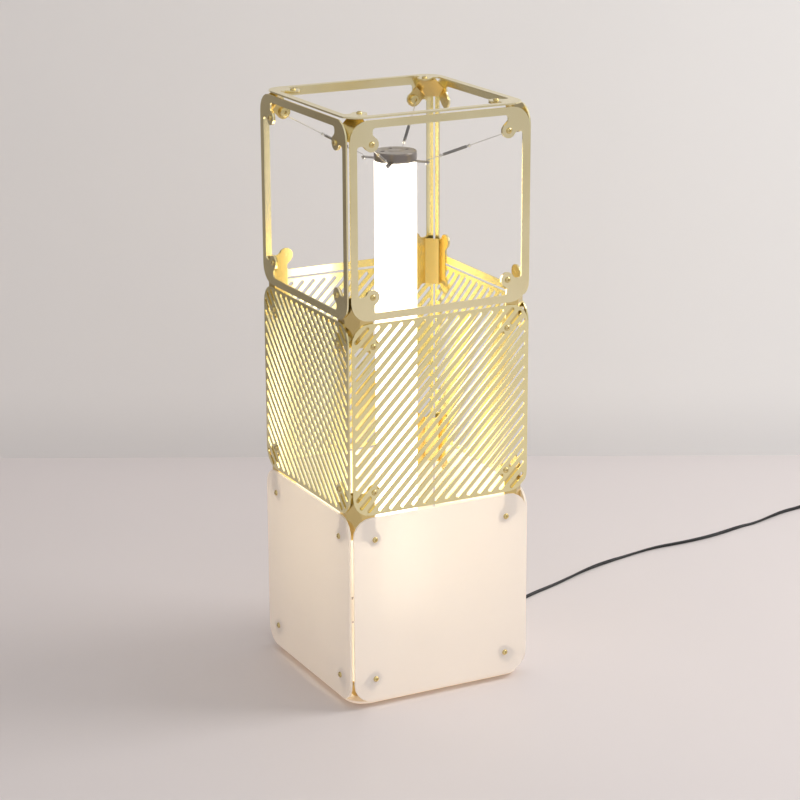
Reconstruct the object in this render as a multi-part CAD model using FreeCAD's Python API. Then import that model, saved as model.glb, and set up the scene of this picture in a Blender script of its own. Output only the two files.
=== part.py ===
import FreeCAD
import Part
import math
import os

from FreeCAD import Placement, Rotation, Vector

# Column floor lamp: three stacked cubes of flat square panels round a light tube.
# The panels are screwed to folded corner hubs. The tube hangs on springs from the
# corners of the top cube and is drawn down by the same springs at the bottom.
# Millimetres, +Z up. The origin is on the floor, under the middle of the column.
# +X is the back right side, -X the front left, +Y the back left, -Y the front right.

os.makedirs("parts", exist_ok=True)

# ---- driving dimensions -------------------------------------------------------

# column
MODULE = 250.0            # one cube, and the pitch at which the three are stacked
CUBES = 3
PANEL_GAP = 3.5           # open joint between the edges of neighbouring panels
PANEL_CORNER_R = 24.0
BRASS_SHEET = 2.0         # frames and slotted panels
ACRYLIC_SHEET = 3.0       # diffusers and base panel
HUB_SHEET = 1.5
FOOT_HEIGHT = 5.0
FOOT_R = 9.0
FOOT_TAPER = 1.2          # a foot is this much narrower on the floor
FOOT_WELL_R = 4.6
FOOT_CLAMP = 2.2          # rubber between the screw's head and the base panel

# fixing of a panel: one screw near each corner
SCREW_INSET = 29.25       # from the panel's edges to the screw
SCREW_R = 2.0
SCREW_HOLE_CLEAR = 0.25   # round the shank, in a panel
HUB_HOLE_CLEAR = 0.1      # round the shank, in a hub
SCREW_REACH = 1.2         # how far the shank enters the hub
SCREW_HEAD_R = 3.8
SCREW_HEAD_TOP_R = 2.4
SCREW_HEAD_H = 2.2
SMALL_SIDES = 6           # sides of shanks, heads and screw holes

# open frame
FRAME_BAR = 9.5
LOBE_BLOCK = 30.5         # solid corner, from the panel's edges
LOBE_R = 9.5              # round head about the screw
SCOOP_R = 3.0             # hollow between the corner and the head
WINDOW_R = 3.5            # the window's own corners

# slotted panel
SLOT_W = 5.5
SLOT_EDGE = 6.25          # from the panel's edges to the centre of a slot's round end
SLOT_STOP = 9.25          # from a screw to the round end that stops before it
SLOTS_TO_SCREW = 12       # slot pitches between the diagonal slot and the far screws
SLOT_END_STEPS = 4        # corners of a slot's round end

# hubs
HUB_CHAMFER_W = 20.0      # the face that crosses the column's edge
HUB_FLANGE_EDGE = 92.75   # a joint hub's flange reaches in to here, from the axis
HUB_HEAD_R = 9.5
JOINT_HUB_HALF = 31.0     # half the height of a joint hub's middle face
CORNER_HUB_INNER = 98.2   # where the corner hub's bend ends, from the axis

# wires and springs
ANCHOR_R = 6.4
ANCHOR_H = 4.5
ANCHOR_BORE_R = 2.3
ANCHOR_SCREW_REACH = 4.0  # the longer screw under an anchor
WIRE_R = 0.5
WIRE_SIDES = 4
WIRE_SPOT = 3.6           # from the anchor's middle to where the wire leaves it
SPRING_WIRE = 0.8
SPRING_R = 1.6            # to the middle of the wire
SPRING_CURLS = 4
SPRING_SIDES = 3
SPRING_ENTRY = 2.2        # along the line, where a spring's end opens into its curls
SPRING_START = 20.0       # along the line, from the bend at the hook arm
SPRING_LENGTH = 39.0
FERRULE_R = 2.1
FERRULE_L = 2.5

# light tube
TUBE_SHIFT = (2.0, -1.0)  # the tube hangs a little off the column's middle
TUBE_R = 26.8
TUBE_WALL = 2.0
TUBE_INSET = 80.6         # from the column's ends to the plastic tube's ends
CAP_R = 27.2
CAP_H = 10.5
CAP_SPIGOT = 5.6          # through the hook plate and into the tube
CAP_RIM_H = 1.0           # the top of the cap is a little narrower
CAP_RIM_STEP = 0.5
CAP_HOLE_R = 2.9
CAP_HOLE_AT = 16.75       # radius of the cap screws' circle
CAP_HOLE_ANGLES = (5.0, 85.0, 168.0)
CAP_FLOOR = 4.0           # metal left under a cap screw's head
CAP_SCREW_R = 1.4
CAP_SCREW_HEAD_R = 2.6
CAP_SCREW_HEAD_H = 3.0
CAP_SCREW_REACH = 8.0
CAP_SOCKET_R = 1.3
CAP_SOCKET_DEEP = 1.6
HOOK_PLATE = 1.6
HOOK_RING_HOLE_R = 22.5
HOOK_ARM_W = 6.5
HOOK_ARM_REACH = 47.0     # from the tube's axis to the arm's tip
HOOK_HOLE_R = 1.2
STOP_H = 2.0              # crimped end of a wire, under the hook arm
WIRE_BEND_RISE = 0.3      # straight part of a wire above the hook arm
WIRE_BEND_R = 2.0
CORE_FLATS_R = 19.5       # octagonal core, to its flats
CORE_SIDES = 8
CORE_BORE_R = 14.0
STRIP_W = 9.0
STRIP_H = 1.2
STRIP_END_GAP = 6.0
DRIVER_SIZE = (19.0, 12.0, 90.0)

# lead and cord
CORD_R = 2.5
CORD_SIDES = 5
CORD_START = 126.5        # x where the lead ends and the cord begins, inside the bush
LEAD_R = 2.2
LEAD_END_DEEP = 6.0       # how far the lead enters the tube's gland
LEAD_GLAND_R = 6.0
LEAD_GLAND_H = 9.0
LEAD_GLAND_SPIGOT_R = 4.0
LEAD_GLAND_TAPER = 1.0
LEAD_DROP = 23.5          # the lead hangs straight this far
LEAD_TURN = (14.5, 10.5)  # its low bend, from the tube's axis
LEAD_REST = ((49.0, 37.0), (85.0, 60.0))  # where it lies on its way to the outlet
LEAD_HUMP = 1.5
CORD_STRAIGHT = 172.0     # x where the cord turns down from the outlet's level
OUTLET = (60.0, 34.0)     # y and z of the cord's way out of the back right diffuser
OUTLET_R = 5.0
BUSH_FLANGE_R = 7.5
BUSH_FLANGE_H = 2.5
BUSH_NUT_H = 2.5
RELIEF_R = (4.8, 3.2)
RELIEF_L = 26.0
FLOOR_POINTS = [(220, 85), (268, 113), (328, 134), (380.5, 156), (427.6, 172), (482, 185.5),
                (535, 194), (582, 192), (628, 194), (668, 201.5), (703, 211), (733, 214.5),
                (769.5, 225.6), (804, 236), (837, 240.3)]
SWITCH_AT = (872.0, 241.0)   # middle of the end where the cord comes in
SWITCH_SIZE = (62.0, 27.0, 16.5)
SWITCH_SPLIT = 7.5        # height where base and cover meet, and of the cord's middle
SWITCH_CORNER = 7.0
SWITCH_CHAMFER = 2.0
SWITCH_WALL = 2.0
SWITCH_CORD_IN = 6.0
SWITCH_LEVEL_RUN = 13.5   # where the cord comes level ahead of the switch
ROCKER_L = 19.0
ROCKER_W = 10.4
ROCKER_TILT = 9.0
ROCKER_TOP = 6.2          # from the pivot to the rocker's crown
ROCKER_SKIRT = 2.6
ROCKER_TAPER = 0.6
RIB_L = 2.0               # rests inside the switch, under the rocker's two ends
ROCKER_SIDE_GAP = 0.4
ROCKER_END_GAP = 0.9
PIVOT_Z = 11.6
PIVOT_R = 1.3
PIVOT_CLEAR = 0.1
POST_L = 5.0
POST_W = 1.6
COIL_AT = (982.0, 205.0)
COIL_OUT_R = 36.0
COIL_PITCH = 5.5          # from turn to turn, sideways and upwards
COIL_TURNS = 5.5
COIL_Z = 3.8
TIE_SHEET = 1.0
TIE_W = 6.0
PLUG_AT = (950.0, 166.0, 6.8)
PLUG_LENGTHS = (19.0, 15.0, 14.0)
PLUG_SECTIONS = ((17.0, 6.8, 3.0), (15.5, 6.5, 3.0), (6.5, 5.2, 2.5), (3.8, 3.8, 1.4))
PLUG_CORD_IN = 6.0
PIN_R = 2.0
PIN_L = 19.0
PIN_SPACING = 18.6
FIT = 0.3                 # between pieces that only lie close

# how rounds are cut into flats
ARC_FLAT_DEPTH = 0.32
LARGE_SIDES = 28          # tube, caps and hook plates
TURNED_SIDES = 10         # feet, anchors, bush and gland

# ---- sizes that follow --------------------------------------------------------

PANEL_HALF = (MODULE - PANEL_GAP) / 2
CORE_HALF = MODULE / 2                      # axis to the inner face of every panel
SCREW_AT = PANEL_HALF - SCREW_INSET
BASE_Z = FOOT_HEIGHT + ACRYLIC_SHEET        # underside of the lowest cube's core
TOP_Z = BASE_Z + CUBES * MODULE
TUBE_ENDS = (BASE_Z + TUBE_INSET, TOP_Z - TUBE_INSET)  # heights of the plastic tube's ends
HUB_INNER = CORE_HALF - HUB_SHEET
HUB_BEND = CORE_HALF - HUB_CHAMFER_W / math.sqrt(2)
SLOT_PITCH = SCREW_AT * math.sqrt(2) / SLOTS_TO_SCREW
SLOT_FIELD = PANEL_HALF - SLOT_EDGE
CUBE_CENTRES = [BASE_Z + MODULE * (i + 0.5) for i in range(CUBES)]
UP = Vector(0, 0, 1)

# side name: (direction to the right as seen from outside, outward normal)
SIDES = {
    "front_right": (Vector(1, 0, 0), Vector(0, -1, 0)),
    "front_left": (Vector(0, -1, 0), Vector(-1, 0, 0)),
    "back_right": (Vector(0, 1, 0), Vector(1, 0, 0)),
    "back_left": (Vector(-1, 0, 0), Vector(0, 1, 0)),
}
# corner name: quarter turns about Z from the back corner (+X, +Y)
CORNERS = {"back": 0, "left": 1, "front": 2, "right": 3}
RISING = {"front_right": 1, "front_left": -1, "back_right": -1, "back_left": -1}
ANCHOR_SIDES = ("front_right", "back_left")


# ---- helpers ------------------------------------------------------------------

def export(name, shape):
    """Write one node's STEP file and say how large it is."""
    shape.exportStep("parts/" + name + ".step")
    print(f"{name:28s} solids {len(shape.Solids):3d}  volume {shape.Volume / 1000:9.3f} cm3")


def group(solids):
    """Several separate solids in one node."""
    return Part.makeCompound(list(solids))


def turn(x, y, quarter):
    """The point (x, y) after quarter turns about the origin."""
    for _ in range(quarter % 4):
        x, y = -y, x
    return x, y


def polar(centre, radius, degrees):
    angle = math.radians(degrees)
    return (centre[0] + radius * math.cos(angle), centre[1] + radius * math.sin(angle))


def polygon_wire(points):
    return Part.makePolygon([Vector(x, y, 0) for x, y in points + points[:1]])


def flats_along(start, middle, end):
    """Points of an arc cut into flats, without its start."""
    arc = Part.Arc(*(Vector(x, y, 0) for x, y in (start, middle, end))).toShape()
    swing = arc.LastParameter - arc.FirstParameter
    count = max(1, round(swing / (2 * math.acos(1 - ARC_FLAT_DEPTH / arc.Curve.Radius))))
    return [(point.x, point.y) for point in arc.discretize(count + 1)[1:]]


def outline_wire(start, steps):
    """A closed wire in the XY plane: each step is (end,) for a line or (mid, end) for an arc."""
    points = [start]
    for step in steps:
        points += [step[0]] if len(step) == 1 else flats_along(points[-1], *step)
    if math.dist(points[0], points[-1]) < 1e-6:
        points.pop()
    return polygon_wire(points)


def ring(radius, sides, x=0, y=0, facing=0):
    """Corners of the many-sided stand-in for a circle, with the circle's own area.

    The middle of one side looks in the direction of facing, in degrees."""
    step = 2 * math.pi / sides
    reach = radius * math.sqrt(step / math.sin(step))
    return [polar((x, y), reach, facing + math.degrees(step * (i + 0.5)))
            for i in range(sides)]


def small_round(x, y, radius, facing=0):
    return polygon_wire(ring(radius, SMALL_SIDES, x, y, facing))


def large_round(radius):
    return polygon_wire(ring(radius, LARGE_SIDES))


def plate(outer, holes, thickness):
    """A flat plate from z = 0 up, with its outline and holes in the XY plane."""
    face = Part.makeFace([outer] + holes, "Part::FaceMakerBullseye")
    return face.extrude(Vector(0, 0, thickness))


def rounded_square(half, radius):
    """Outline of a square plate with round corners."""
    steps = []
    near = half - radius
    for quarter in range(4):
        steps.append((turn(half, near, quarter),))
        steps.append((turn(*polar((near, near), radius, 45), quarter),
                      turn(near, half, quarter)))
    return outline_wire(turn(near, half, 3), steps)


def on_side(shape, side, depth, height):
    """Stand a plate that was drawn as seen from outside against a side of the column.

    The plate's XY plane becomes the side's plane, at depth from the axis, and its
    thickness runs outwards. Its middle comes to the given height."""
    right, normal = SIDES[side]
    stand = Placement(normal * depth + UP * height, Rotation(right, UP, normal, "ZXY"))
    return placed(shape, stand)


def placed(shape, placement):
    moved = shape.copy()
    moved.Placement = placement.multiply(shape.Placement)
    return moved


def round_bar(base, direction, radius, length, sides):
    """Straight bar of a round's area from base along the direction."""
    bar = plate(polygon_wire(ring(radius, sides)), [], length)
    return placed(bar, Placement(base, Rotation(UP, direction)))


def turned(profile, base, direction, sides):
    """A turned piece: profile is a closed list of (radius, height) along the direction."""
    rings = [[Vector(x, y, height) for x, y in ring(radius, sides)] if radius > 0
             else [Vector(0, 0, height)] * sides for radius, height in profile]
    faces = []
    for near, far in zip(rings, rings[1:] + rings[:1]):
        for i in range(sides):
            j = (i + 1) % sides
            corners = [near[i], near[j], far[j], far[i]]
            loop = [a for a, b in zip(corners, corners[1:] + corners[:1]) if (a - b).Length > 1e-6]
            if len(loop) > 2:
                faces.append(Part.Face(Part.makePolygon(loop + loop[:1])))
    solid = Part.Solid(Part.Shell(faces)).removeSplitter()
    if solid.Volume < 0:
        solid.reverse()
    return placed(solid, Placement(base, Rotation(UP, direction)))


# ---- panels -------------------------------------------------------------------

def screw_spots():
    return [turn(SCREW_AT, SCREW_AT, quarter) for quarter in range(4)]


def outwards(x, y):
    """Direction from a panel's middle to a point of it, in degrees."""
    return math.degrees(math.atan2(y, x))


def panel_holes():
    return [small_round(x, y, SCREW_R + SCREW_HOLE_CLEAR, outwards(x, y))
            for x, y in screw_spots()]


def frame_window():
    """The opening of a frame, with a lobed corner pointing at each screw."""
    inner = PANEL_HALF - FRAME_BAR
    block = PANEL_HALF - LOBE_BLOCK
    hollow = LOBE_R + SCOOP_R
    drop = SCREW_AT - (block - SCOOP_R)
    reach = math.sqrt(hollow ** 2 - drop ** 2)
    scoop = (SCREW_AT + reach, block - SCOOP_R)
    contact = math.degrees(math.atan2(drop, reach))
    head = (SCREW_AT, SCREW_AT)
    corner = (inner - WINDOW_R, block - WINDOW_R)

    def swap(point):
        return (point[1], point[0])

    steps = []
    for quarter in range(4):
        local = [
            (polar(corner, WINDOW_R, 45), (corner[0], block)),
            ((scoop[0], block),),
            (polar(scoop, SCOOP_R, (270 - contact) / 2), polar(scoop, SCOOP_R, 180 - contact)),
            (polar(head, LOBE_R, -135), swap(polar(head, LOBE_R, -contact))),
            (swap(polar(scoop, SCOOP_R, (270 - contact) / 2)), (block, scoop[0])),
            ((block, inner - WINDOW_R),),
            (swap(polar(corner, WINDOW_R, 45)), (corner[1], inner)),
            (turn(inner, corner[1], 1),),
        ]
        for step in local:
            steps.append(tuple(turn(*point, quarter) for point in step))
    return outline_wire((inner, corner[1]), steps)


def slot(start, end):
    """A straight slot with rounded ends, each in a few flats that touch the round."""
    along = math.degrees(math.atan2(end[1] - start[1], end[0] - start[0]))
    step = 180 / SLOT_END_STEPS
    reach = SLOT_W / 2 / math.cos(math.radians(step / 2))
    points = []
    for centre, first in ((end, along - 90), (start, along + 90)):
        points += [polar(centre, reach, first + step * (i + 0.5)) for i in range(SLOT_END_STEPS)]
    return polygon_wire(points)


def field_end(offset):
    """Largest x that the line y = x + offset reaches in the slots' rounded square."""
    x = min(SLOT_FIELD, SLOT_FIELD - offset)
    centre = PANEL_HALF - PANEL_CORNER_R
    radius = PANEL_CORNER_R - SLOT_EDGE
    for corner_y in (centre, -centre):
        foot = (centre + corner_y - offset) / 2
        aside = abs(corner_y - centre - offset) / math.sqrt(2)
        if aside < radius and x > centre and (x + offset) * corner_y > centre ** 2:
            x = foot + math.sqrt(radius ** 2 - aside ** 2) / math.sqrt(2)
    return x


def slot_runs(offset):
    """The stretches of the slot line y = x + offset that a panel has, as pairs of end points."""
    high = field_end(offset)
    low = -offset - high
    cuts = []
    for x, y in screw_spots():
        foot = (x + y - offset) / 2
        aside = abs(y - x - offset) / math.sqrt(2)
        if aside < SLOT_STOP - SLOT_W / 2:
            half = math.sqrt(SLOT_STOP ** 2 - aside ** 2) / math.sqrt(2)
            cuts.append((foot - half, foot + half))
    runs = []
    for cut_low, cut_high in sorted(cuts):
        runs.append((low, cut_low))
        low = cut_high
    runs.append((low, high))
    return [((a, a + offset), (b, b + offset)) for a, b in runs if b - a > SLOT_W / 2]


def slotted_holes(rising):
    """All slots of one panel. They rise to the right, or to the left where rising is -1."""
    across = SLOT_PITCH * math.sqrt(2)
    count = int((2 * SLOT_FIELD - SLOT_W) / across)
    holes = []
    for number in range(-count, count + 1):
        for start, end in slot_runs(number * across):
            holes.append(slot((rising * start[0], start[1]), (rising * end[0], end[1])))
    return holes


def make_panels():
    outline = rounded_square(PANEL_HALF, PANEL_CORNER_R)
    frame = plate(outline, panel_holes() + [frame_window()], BRASS_SHEET)
    diffuser = plate(outline, panel_holes(), ACRYLIC_SHEET)
    low, middle, high = CUBE_CENTRES
    for side in SIDES:
        export("upper_frame_" + side, on_side(frame, side, CORE_HALF, high))
        slotted = plate(outline, panel_holes() + slotted_holes(RISING[side]), BRASS_SHEET)
        export("slotted_panel_" + side, on_side(slotted, side, CORE_HALF, middle))
        panel = on_side(diffuser, side, CORE_HALF, low)
        if side == "back_right":
            panel = panel.cut(round_bar(Vector(CORE_HALF, *OUTLET), SIDES[side][1],
                                        OUTLET_R, ACRYLIC_SHEET, TURNED_SIDES))
        export("diffuser_" + side, panel)
    lid = frame.copy()
    lid.translate(Vector(0, 0, TOP_Z))
    export("lid_frame", lid)
    base = diffuser.copy()
    base.translate(Vector(0, 0, BASE_Z - ACRYLIC_SHEET))
    export("base_panel", base)


# ---- hubs ---------------------------------------------------------------------

def tangent_point(point, centre, radius, sign):
    """Where the line from a point touches a circle."""
    dx, dy = point[0] - centre[0], point[1] - centre[1]
    spread = math.degrees(math.acos(radius / math.hypot(dx, dy)))
    return polar(centre, radius, math.degrees(math.atan2(dy, dx)) + sign * spread)


def corner_flange():
    """Flange of a corner hub: a straight strip from the bend to a round head."""
    head = (SCREW_AT, SCREW_AT)
    first = (HUB_BEND, CORNER_HUB_INNER)
    last = (CORNER_HUB_INNER, HUB_BEND)
    steps = [
        (tangent_point(first, head, HUB_HEAD_R, -1),),
        (polar(head, HUB_HEAD_R, -135), tangent_point(last, head, HUB_HEAD_R, 1)),
        (last,),
        (first,),
    ]
    hole = small_round(*head, SCREW_R + HUB_HOLE_CLEAR, outwards(*head))
    return plate(outline_wire(first, steps), [hole], -HUB_SHEET)


def joint_flange():
    """Flange of a joint hub, with a round head above and one below."""
    rise = MODULE / 2 - SCREW_AT
    hollow = HUB_HEAD_R + SCOOP_R
    lift = JOINT_HUB_HALF + SCOOP_R - rise
    reach = math.sqrt(hollow ** 2 - lift ** 2)
    contact = math.degrees(math.atan2(lift, reach))
    scoop = (SCREW_AT + reach, JOINT_HUB_HALF + SCOOP_R)
    head = (SCREW_AT, rise)
    slant = polar(head, HUB_HEAD_R, 225)
    knee = (HUB_FLANGE_EDGE, slant[1] - (HUB_FLANGE_EDGE - slant[0]))

    def flip(point):
        return (point[0], -point[1])

    upper_head = polar(head, HUB_HEAD_R, contact)
    over_head = polar(head, HUB_HEAD_R, (contact + 225) / 2)
    in_scoop = polar(scoop, SCOOP_R, (180 + contact + 270) / 2)
    steps = [
        ((scoop[0], JOINT_HUB_HALF),),
        (in_scoop, upper_head),
        (over_head, slant),
        (knee,),
        (flip(knee),),
        (flip(slant),),
        (flip(over_head), flip(upper_head)),
        (flip(in_scoop), (scoop[0], -JOINT_HUB_HALF)),
        ((HUB_BEND, -JOINT_HUB_HALF),),
        ((HUB_BEND, JOINT_HUB_HALF),),
    ]
    holes = [small_round(SCREW_AT, end * rise, SCREW_R + HUB_HOLE_CLEAR, outwards(1, -end))
             for end in (1, -1)]
    return plate(outline_wire((HUB_BEND, JOINT_HUB_HALF), steps), holes, -HUB_SHEET)


def stood(flange, right, up, normal):
    """Stand a flange that was drawn flat, with its outer face on the core's face."""
    standing = flange.copy()
    standing.Placement = Placement(normal * CORE_HALF, Rotation(right, up, normal, "ZXY"))
    return standing


def corner_hub():
    """Three-way hub at the back top corner, about the middle of its cube."""
    x, y, z = Vector(1, 0, 0), Vector(0, 1, 0), Vector(0, 0, 1)
    flange = corner_flange()
    corners = [(CORE_HALF, HUB_BEND, CORNER_HUB_INNER), (HUB_BEND, CORE_HALF, CORNER_HUB_INNER),
               (CORNER_HUB_INNER, CORE_HALF, HUB_BEND), (CORNER_HUB_INNER, HUB_BEND, CORE_HALF),
               (HUB_BEND, CORNER_HUB_INNER, CORE_HALF), (CORE_HALF, CORNER_HUB_INNER, HUB_BEND)]
    face = Part.Face(Part.makePolygon([Vector(*p) for p in corners + corners[:1]]))
    inwards = Vector(-1, -1, -1).normalize() * HUB_SHEET
    hub = face.extrude(inwards)
    for right, up, normal in ((x, y, z), (y, z, x), (z, x, y)):
        hub = hub.fuse(stood(flange, right, up, normal))
    return hub.removeSplitter()


def joint_hub():
    """Four-way hub across the joint of two cubes, at the back edge of the column."""
    x, y, z = Vector(1, 0, 0), Vector(0, 1, 0), Vector(0, 0, 1)
    flange = joint_flange()
    corners = [(CORE_HALF, HUB_BEND, -JOINT_HUB_HALF), (HUB_BEND, CORE_HALF, -JOINT_HUB_HALF),
               (HUB_BEND, CORE_HALF, JOINT_HUB_HALF), (CORE_HALF, HUB_BEND, JOINT_HUB_HALF)]
    face = Part.Face(Part.makePolygon([Vector(*p) for p in corners + corners[:1]]))
    hub = face.extrude(Vector(-1, -1, 0).normalize() * HUB_SHEET)
    hub = hub.fuse(stood(flange, y, z, x))
    mirrored = stood(flange, y, z, x).mirror(Vector(0, 0, 0), Vector(1, -1, 0).normalize())
    return hub.fuse(mirrored).removeSplitter()


def make_hubs():
    top, joint = corner_hub(), joint_hub()
    bottom = top.mirror(Vector(0, 0, 0), UP)
    low, middle, high = CUBE_CENTRES
    kinds = {
        "top_corner_hub_": (top, high),
        "upper_joint_hub_": (joint, high - MODULE / 2),
        "lower_joint_hub_": (joint, middle - MODULE / 2),
        "bottom_corner_hub_": (bottom, low),
    }
    for prefix, (shape, height) in kinds.items():
        for corner, quarter in CORNERS.items():
            hub = shape.copy()
            hub.translate(UP * height)
            hub.rotate(Vector(0, 0, 0), UP, 90 * quarter)
            export(prefix + corner, hub)


# ---- screws, feet, anchors ----------------------------------------------------

def screw(through, reach):
    """Button-head screw. Its head lies on z = 0 and the shank goes down."""
    head = wedge_loft([small_round(0, 0, SCREW_HEAD_R), at_height(
        small_round(0, 0, SCREW_HEAD_TOP_R), SCREW_HEAD_H)])
    shank = plate(small_round(0, 0, SCREW_R), [], -(through + reach))
    return head.fuse(shank).removeSplitter()


def at_height(wire, height):
    lifted = wire.copy()
    lifted.translate(UP * height)
    return lifted


def side_screws(sheet, side, height, long_spots):
    """Four screws of one panel. Those at long_spots reach into a wire anchor."""
    solids = []
    for x, y in screw_spots():
        reach = ANCHOR_SCREW_REACH if y * long_spots > 0 else SCREW_REACH
        piece = screw(sheet, reach)
        piece.rotate(Vector(0, 0, 0), UP, outwards(x, y))
        piece.translate(Vector(x, y, 0))
        solids.append(on_side(piece, side, CORE_HALF + sheet, height))
    return solids


def flat_screws(sheet, reach, facing, height):
    solids = []
    for x, y in screw_spots():
        piece = screw(sheet, reach)
        if facing < 0:
            piece.rotate(Vector(0, 0, 0), Vector(1, 0, 0), 180)
        piece.rotate(Vector(0, 0, 0), UP, outwards(x, y))
        piece.translate(Vector(x, y, height))
        solids.append(piece)
    return solids


def make_screws():
    low, middle, high = CUBE_CENTRES
    upper, centre, lower = [], [], []
    for side in SIDES:
        anchored = 1 if side in ANCHOR_SIDES else 0
        upper += side_screws(BRASS_SHEET, side, high, anchored)
        centre += side_screws(BRASS_SHEET, side, middle, 0)
        lower += side_screws(ACRYLIC_SHEET, side, low, -anchored)
    upper += flat_screws(BRASS_SHEET, SCREW_REACH, 1, TOP_Z + BRASS_SHEET)
    export("upper_frame_screws", group(upper))
    export("slotted_panel_screws", group(centre))
    export("diffuser_screws", group(lower))
    export("foot_screws", group(flat_screws(
        ACRYLIC_SHEET + FOOT_CLAMP, SCREW_REACH, -1, FOOT_HEIGHT - FOOT_CLAMP)))


def make_feet():
    profile = [(SCREW_R + SCREW_HOLE_CLEAR, FOOT_HEIGHT), (FOOT_R, FOOT_HEIGHT), (FOOT_R - FOOT_TAPER, 0),
               (FOOT_WELL_R, 0), (FOOT_WELL_R, FOOT_HEIGHT - FOOT_CLAMP),
               (SCREW_R + SCREW_HOLE_CLEAR, FOOT_HEIGHT - FOOT_CLAMP)]
    export("feet", group(turned(profile, Vector(x, y, 0), UP, TURNED_SIDES)
                         for x, y in screw_spots()))


def anchor_spots(end):
    """Middle of each wire anchor's seat at the top (end 1) or bottom (end -1), and its normal."""
    height = CUBE_CENTRES[-1] + SCREW_AT if end > 0 else CUBE_CENTRES[0] - SCREW_AT
    return [(Vector(sx * SCREW_AT, sy * HUB_INNER, height), Vector(0, -sy, 0))
            for sx, sy in ((1, 1), (-1, 1), (-1, -1), (1, -1))]


def make_anchors():
    profile = [(ANCHOR_BORE_R, 0), (ANCHOR_R, 0), (ANCHOR_R, ANCHOR_H), (ANCHOR_BORE_R, ANCHOR_H)]
    export("wire_anchors", group(turned(profile, seat, normal, TURNED_SIDES)
                                 for end in (1, -1) for seat, normal in anchor_spots(end)))


# ---- bars, wires and cords ----------------------------------------------------

def section(radius, sides):
    """Polygon inscribed in the round of a wire or cord."""
    return [polar((0, 0), radius, 360 * (i + 0.5) / sides) for i in range(sides)]


def sweep(edges, radius, sides):
    """One unbroken tube along edges that follow each other smoothly."""
    spine = Part.Wire(edges)
    begin = edges[0].valueAt(edges[0].FirstParameter)
    ahead = edges[0].tangentAt(edges[0].FirstParameter)
    profile = polygon_wire(section(radius, sides))
    profile.Placement = Placement(begin, Rotation(UP, ahead))
    return spine.makePipeShell([profile], True, False)


def section_area(radius, sides):
    return sides / 2 * radius ** 2 * math.sin(2 * math.pi / sides)


def line(a, b):
    return Part.LineSegment(a, b).toShape()


def one_arc(a, towards, b):
    """Arc from a to b that leaves a along the given unit direction."""
    chord = (b - a).Length
    corner = a + towards * (chord / 2 / (b - a).normalize().dot(towards))
    weight = chord / 2 / (corner - a).Length
    middle = (a + corner * (2 * weight) + b) * (0.5 / (1 + weight))
    return Part.Arc(a, middle, b).toShape()


def biarc(a, a_dir, b, b_dir):
    """Two arcs that join two points with given directions."""
    chord = b - a
    both = a_dir + b_dir
    spare = 2 * (1 - a_dir.dot(b_dir))
    if spare < 1e-9:
        reach = chord.dot(chord) / (4 * chord.dot(a_dir))
    else:
        root = math.sqrt(chord.dot(both) ** 2 + spare * chord.dot(chord))
        reach = (root - chord.dot(both)) / spare
    middle = (a + a_dir * reach + b - b_dir * reach) * 0.5
    return [one_arc(a, a_dir, middle), one_arc(middle, (a + a_dir * reach - middle).normalize() * -1, b)]


def curve_through(point_at, stations):
    """Biarcs through a curve given as a function of one value."""
    tiny = 1e-4
    knots = [(point_at(t), (point_at(t + tiny) - point_at(t - tiny)).normalize())
             for t in stations]
    edges = []
    for (a, a_dir), (b, b_dir) in zip(knots, knots[1:]):
        edges += biarc(a, a_dir, b, b_dir)
    return edges, knots[0], knots[-1]


def least_gap(edges, diameter):
    """Smallest clear distance of a coiled tube to itself, measured on points."""
    points, run = [], [0.0]
    for edge in edges:
        points += edge.discretize(7)[:-1]
    for a, b in zip(points, points[1:]):
        run.append(run[-1] + (b - a).Length)
    best = float("inf")
    for i in range(len(points)):
        for j in range(i + 1, len(points)):
            if run[j] - run[i] > 3 * diameter:
                best = min(best, (points[j] - points[i]).Length)
    return best - diameter


def routed(name, route, radius, sides):
    """A cord along straight runs with a tangent arc at each turn of the route."""
    points = [Vector(*p) for p in route]
    runs = [(b - a).Length for a, b in zip(points, points[1:])]
    edges, here, tightest = [], points[0], float("inf")
    for i in range(1, len(points) - 1):
        into = (points[i] - points[i - 1]).normalize()
        away = (points[i + 1] - points[i]).normalize()
        cut = 0.45 * min(runs[i - 1], runs[i])
        tightest = min(tightest, cut / math.tan(into.getAngle(away) / 2))
        start, end = points[i] - into * cut, points[i] + away * cut
        edges += [line(here, start), one_arc(start, into, end)]
        here = end
    edges.append(line(here, points[-1]))
    solid = sweep(edges, radius, sides)
    length = sum(edge.Length for edge in edges)
    ratio = solid.Volume / (section_area(radius, sides) * length)
    print(f"{name}: {length:.0f} mm long, runs {min(runs):.1f} to {max(runs):.1f}, "
          f"tightest turn {tightest:.1f}, volume against section {ratio:.4f}")
    return solid


# ---- wires and springs --------------------------------------------------------

COLUMN_MIDDLE = BASE_Z + CUBES * MODULE / 2
TUBE_AXIS = Vector(TUBE_SHIFT[0], TUBE_SHIFT[1], 0)
HOOK_HOLE_AT = HOOK_ARM_REACH - HOOK_ARM_W / 2
HOOK_TOP = TUBE_ENDS[1] + HOOK_PLATE


def lower(shape):
    """The same piece at the other end of the tube."""
    return shape.mirror(Vector(0, 0, COLUMN_MIDDLE), UP)


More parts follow.
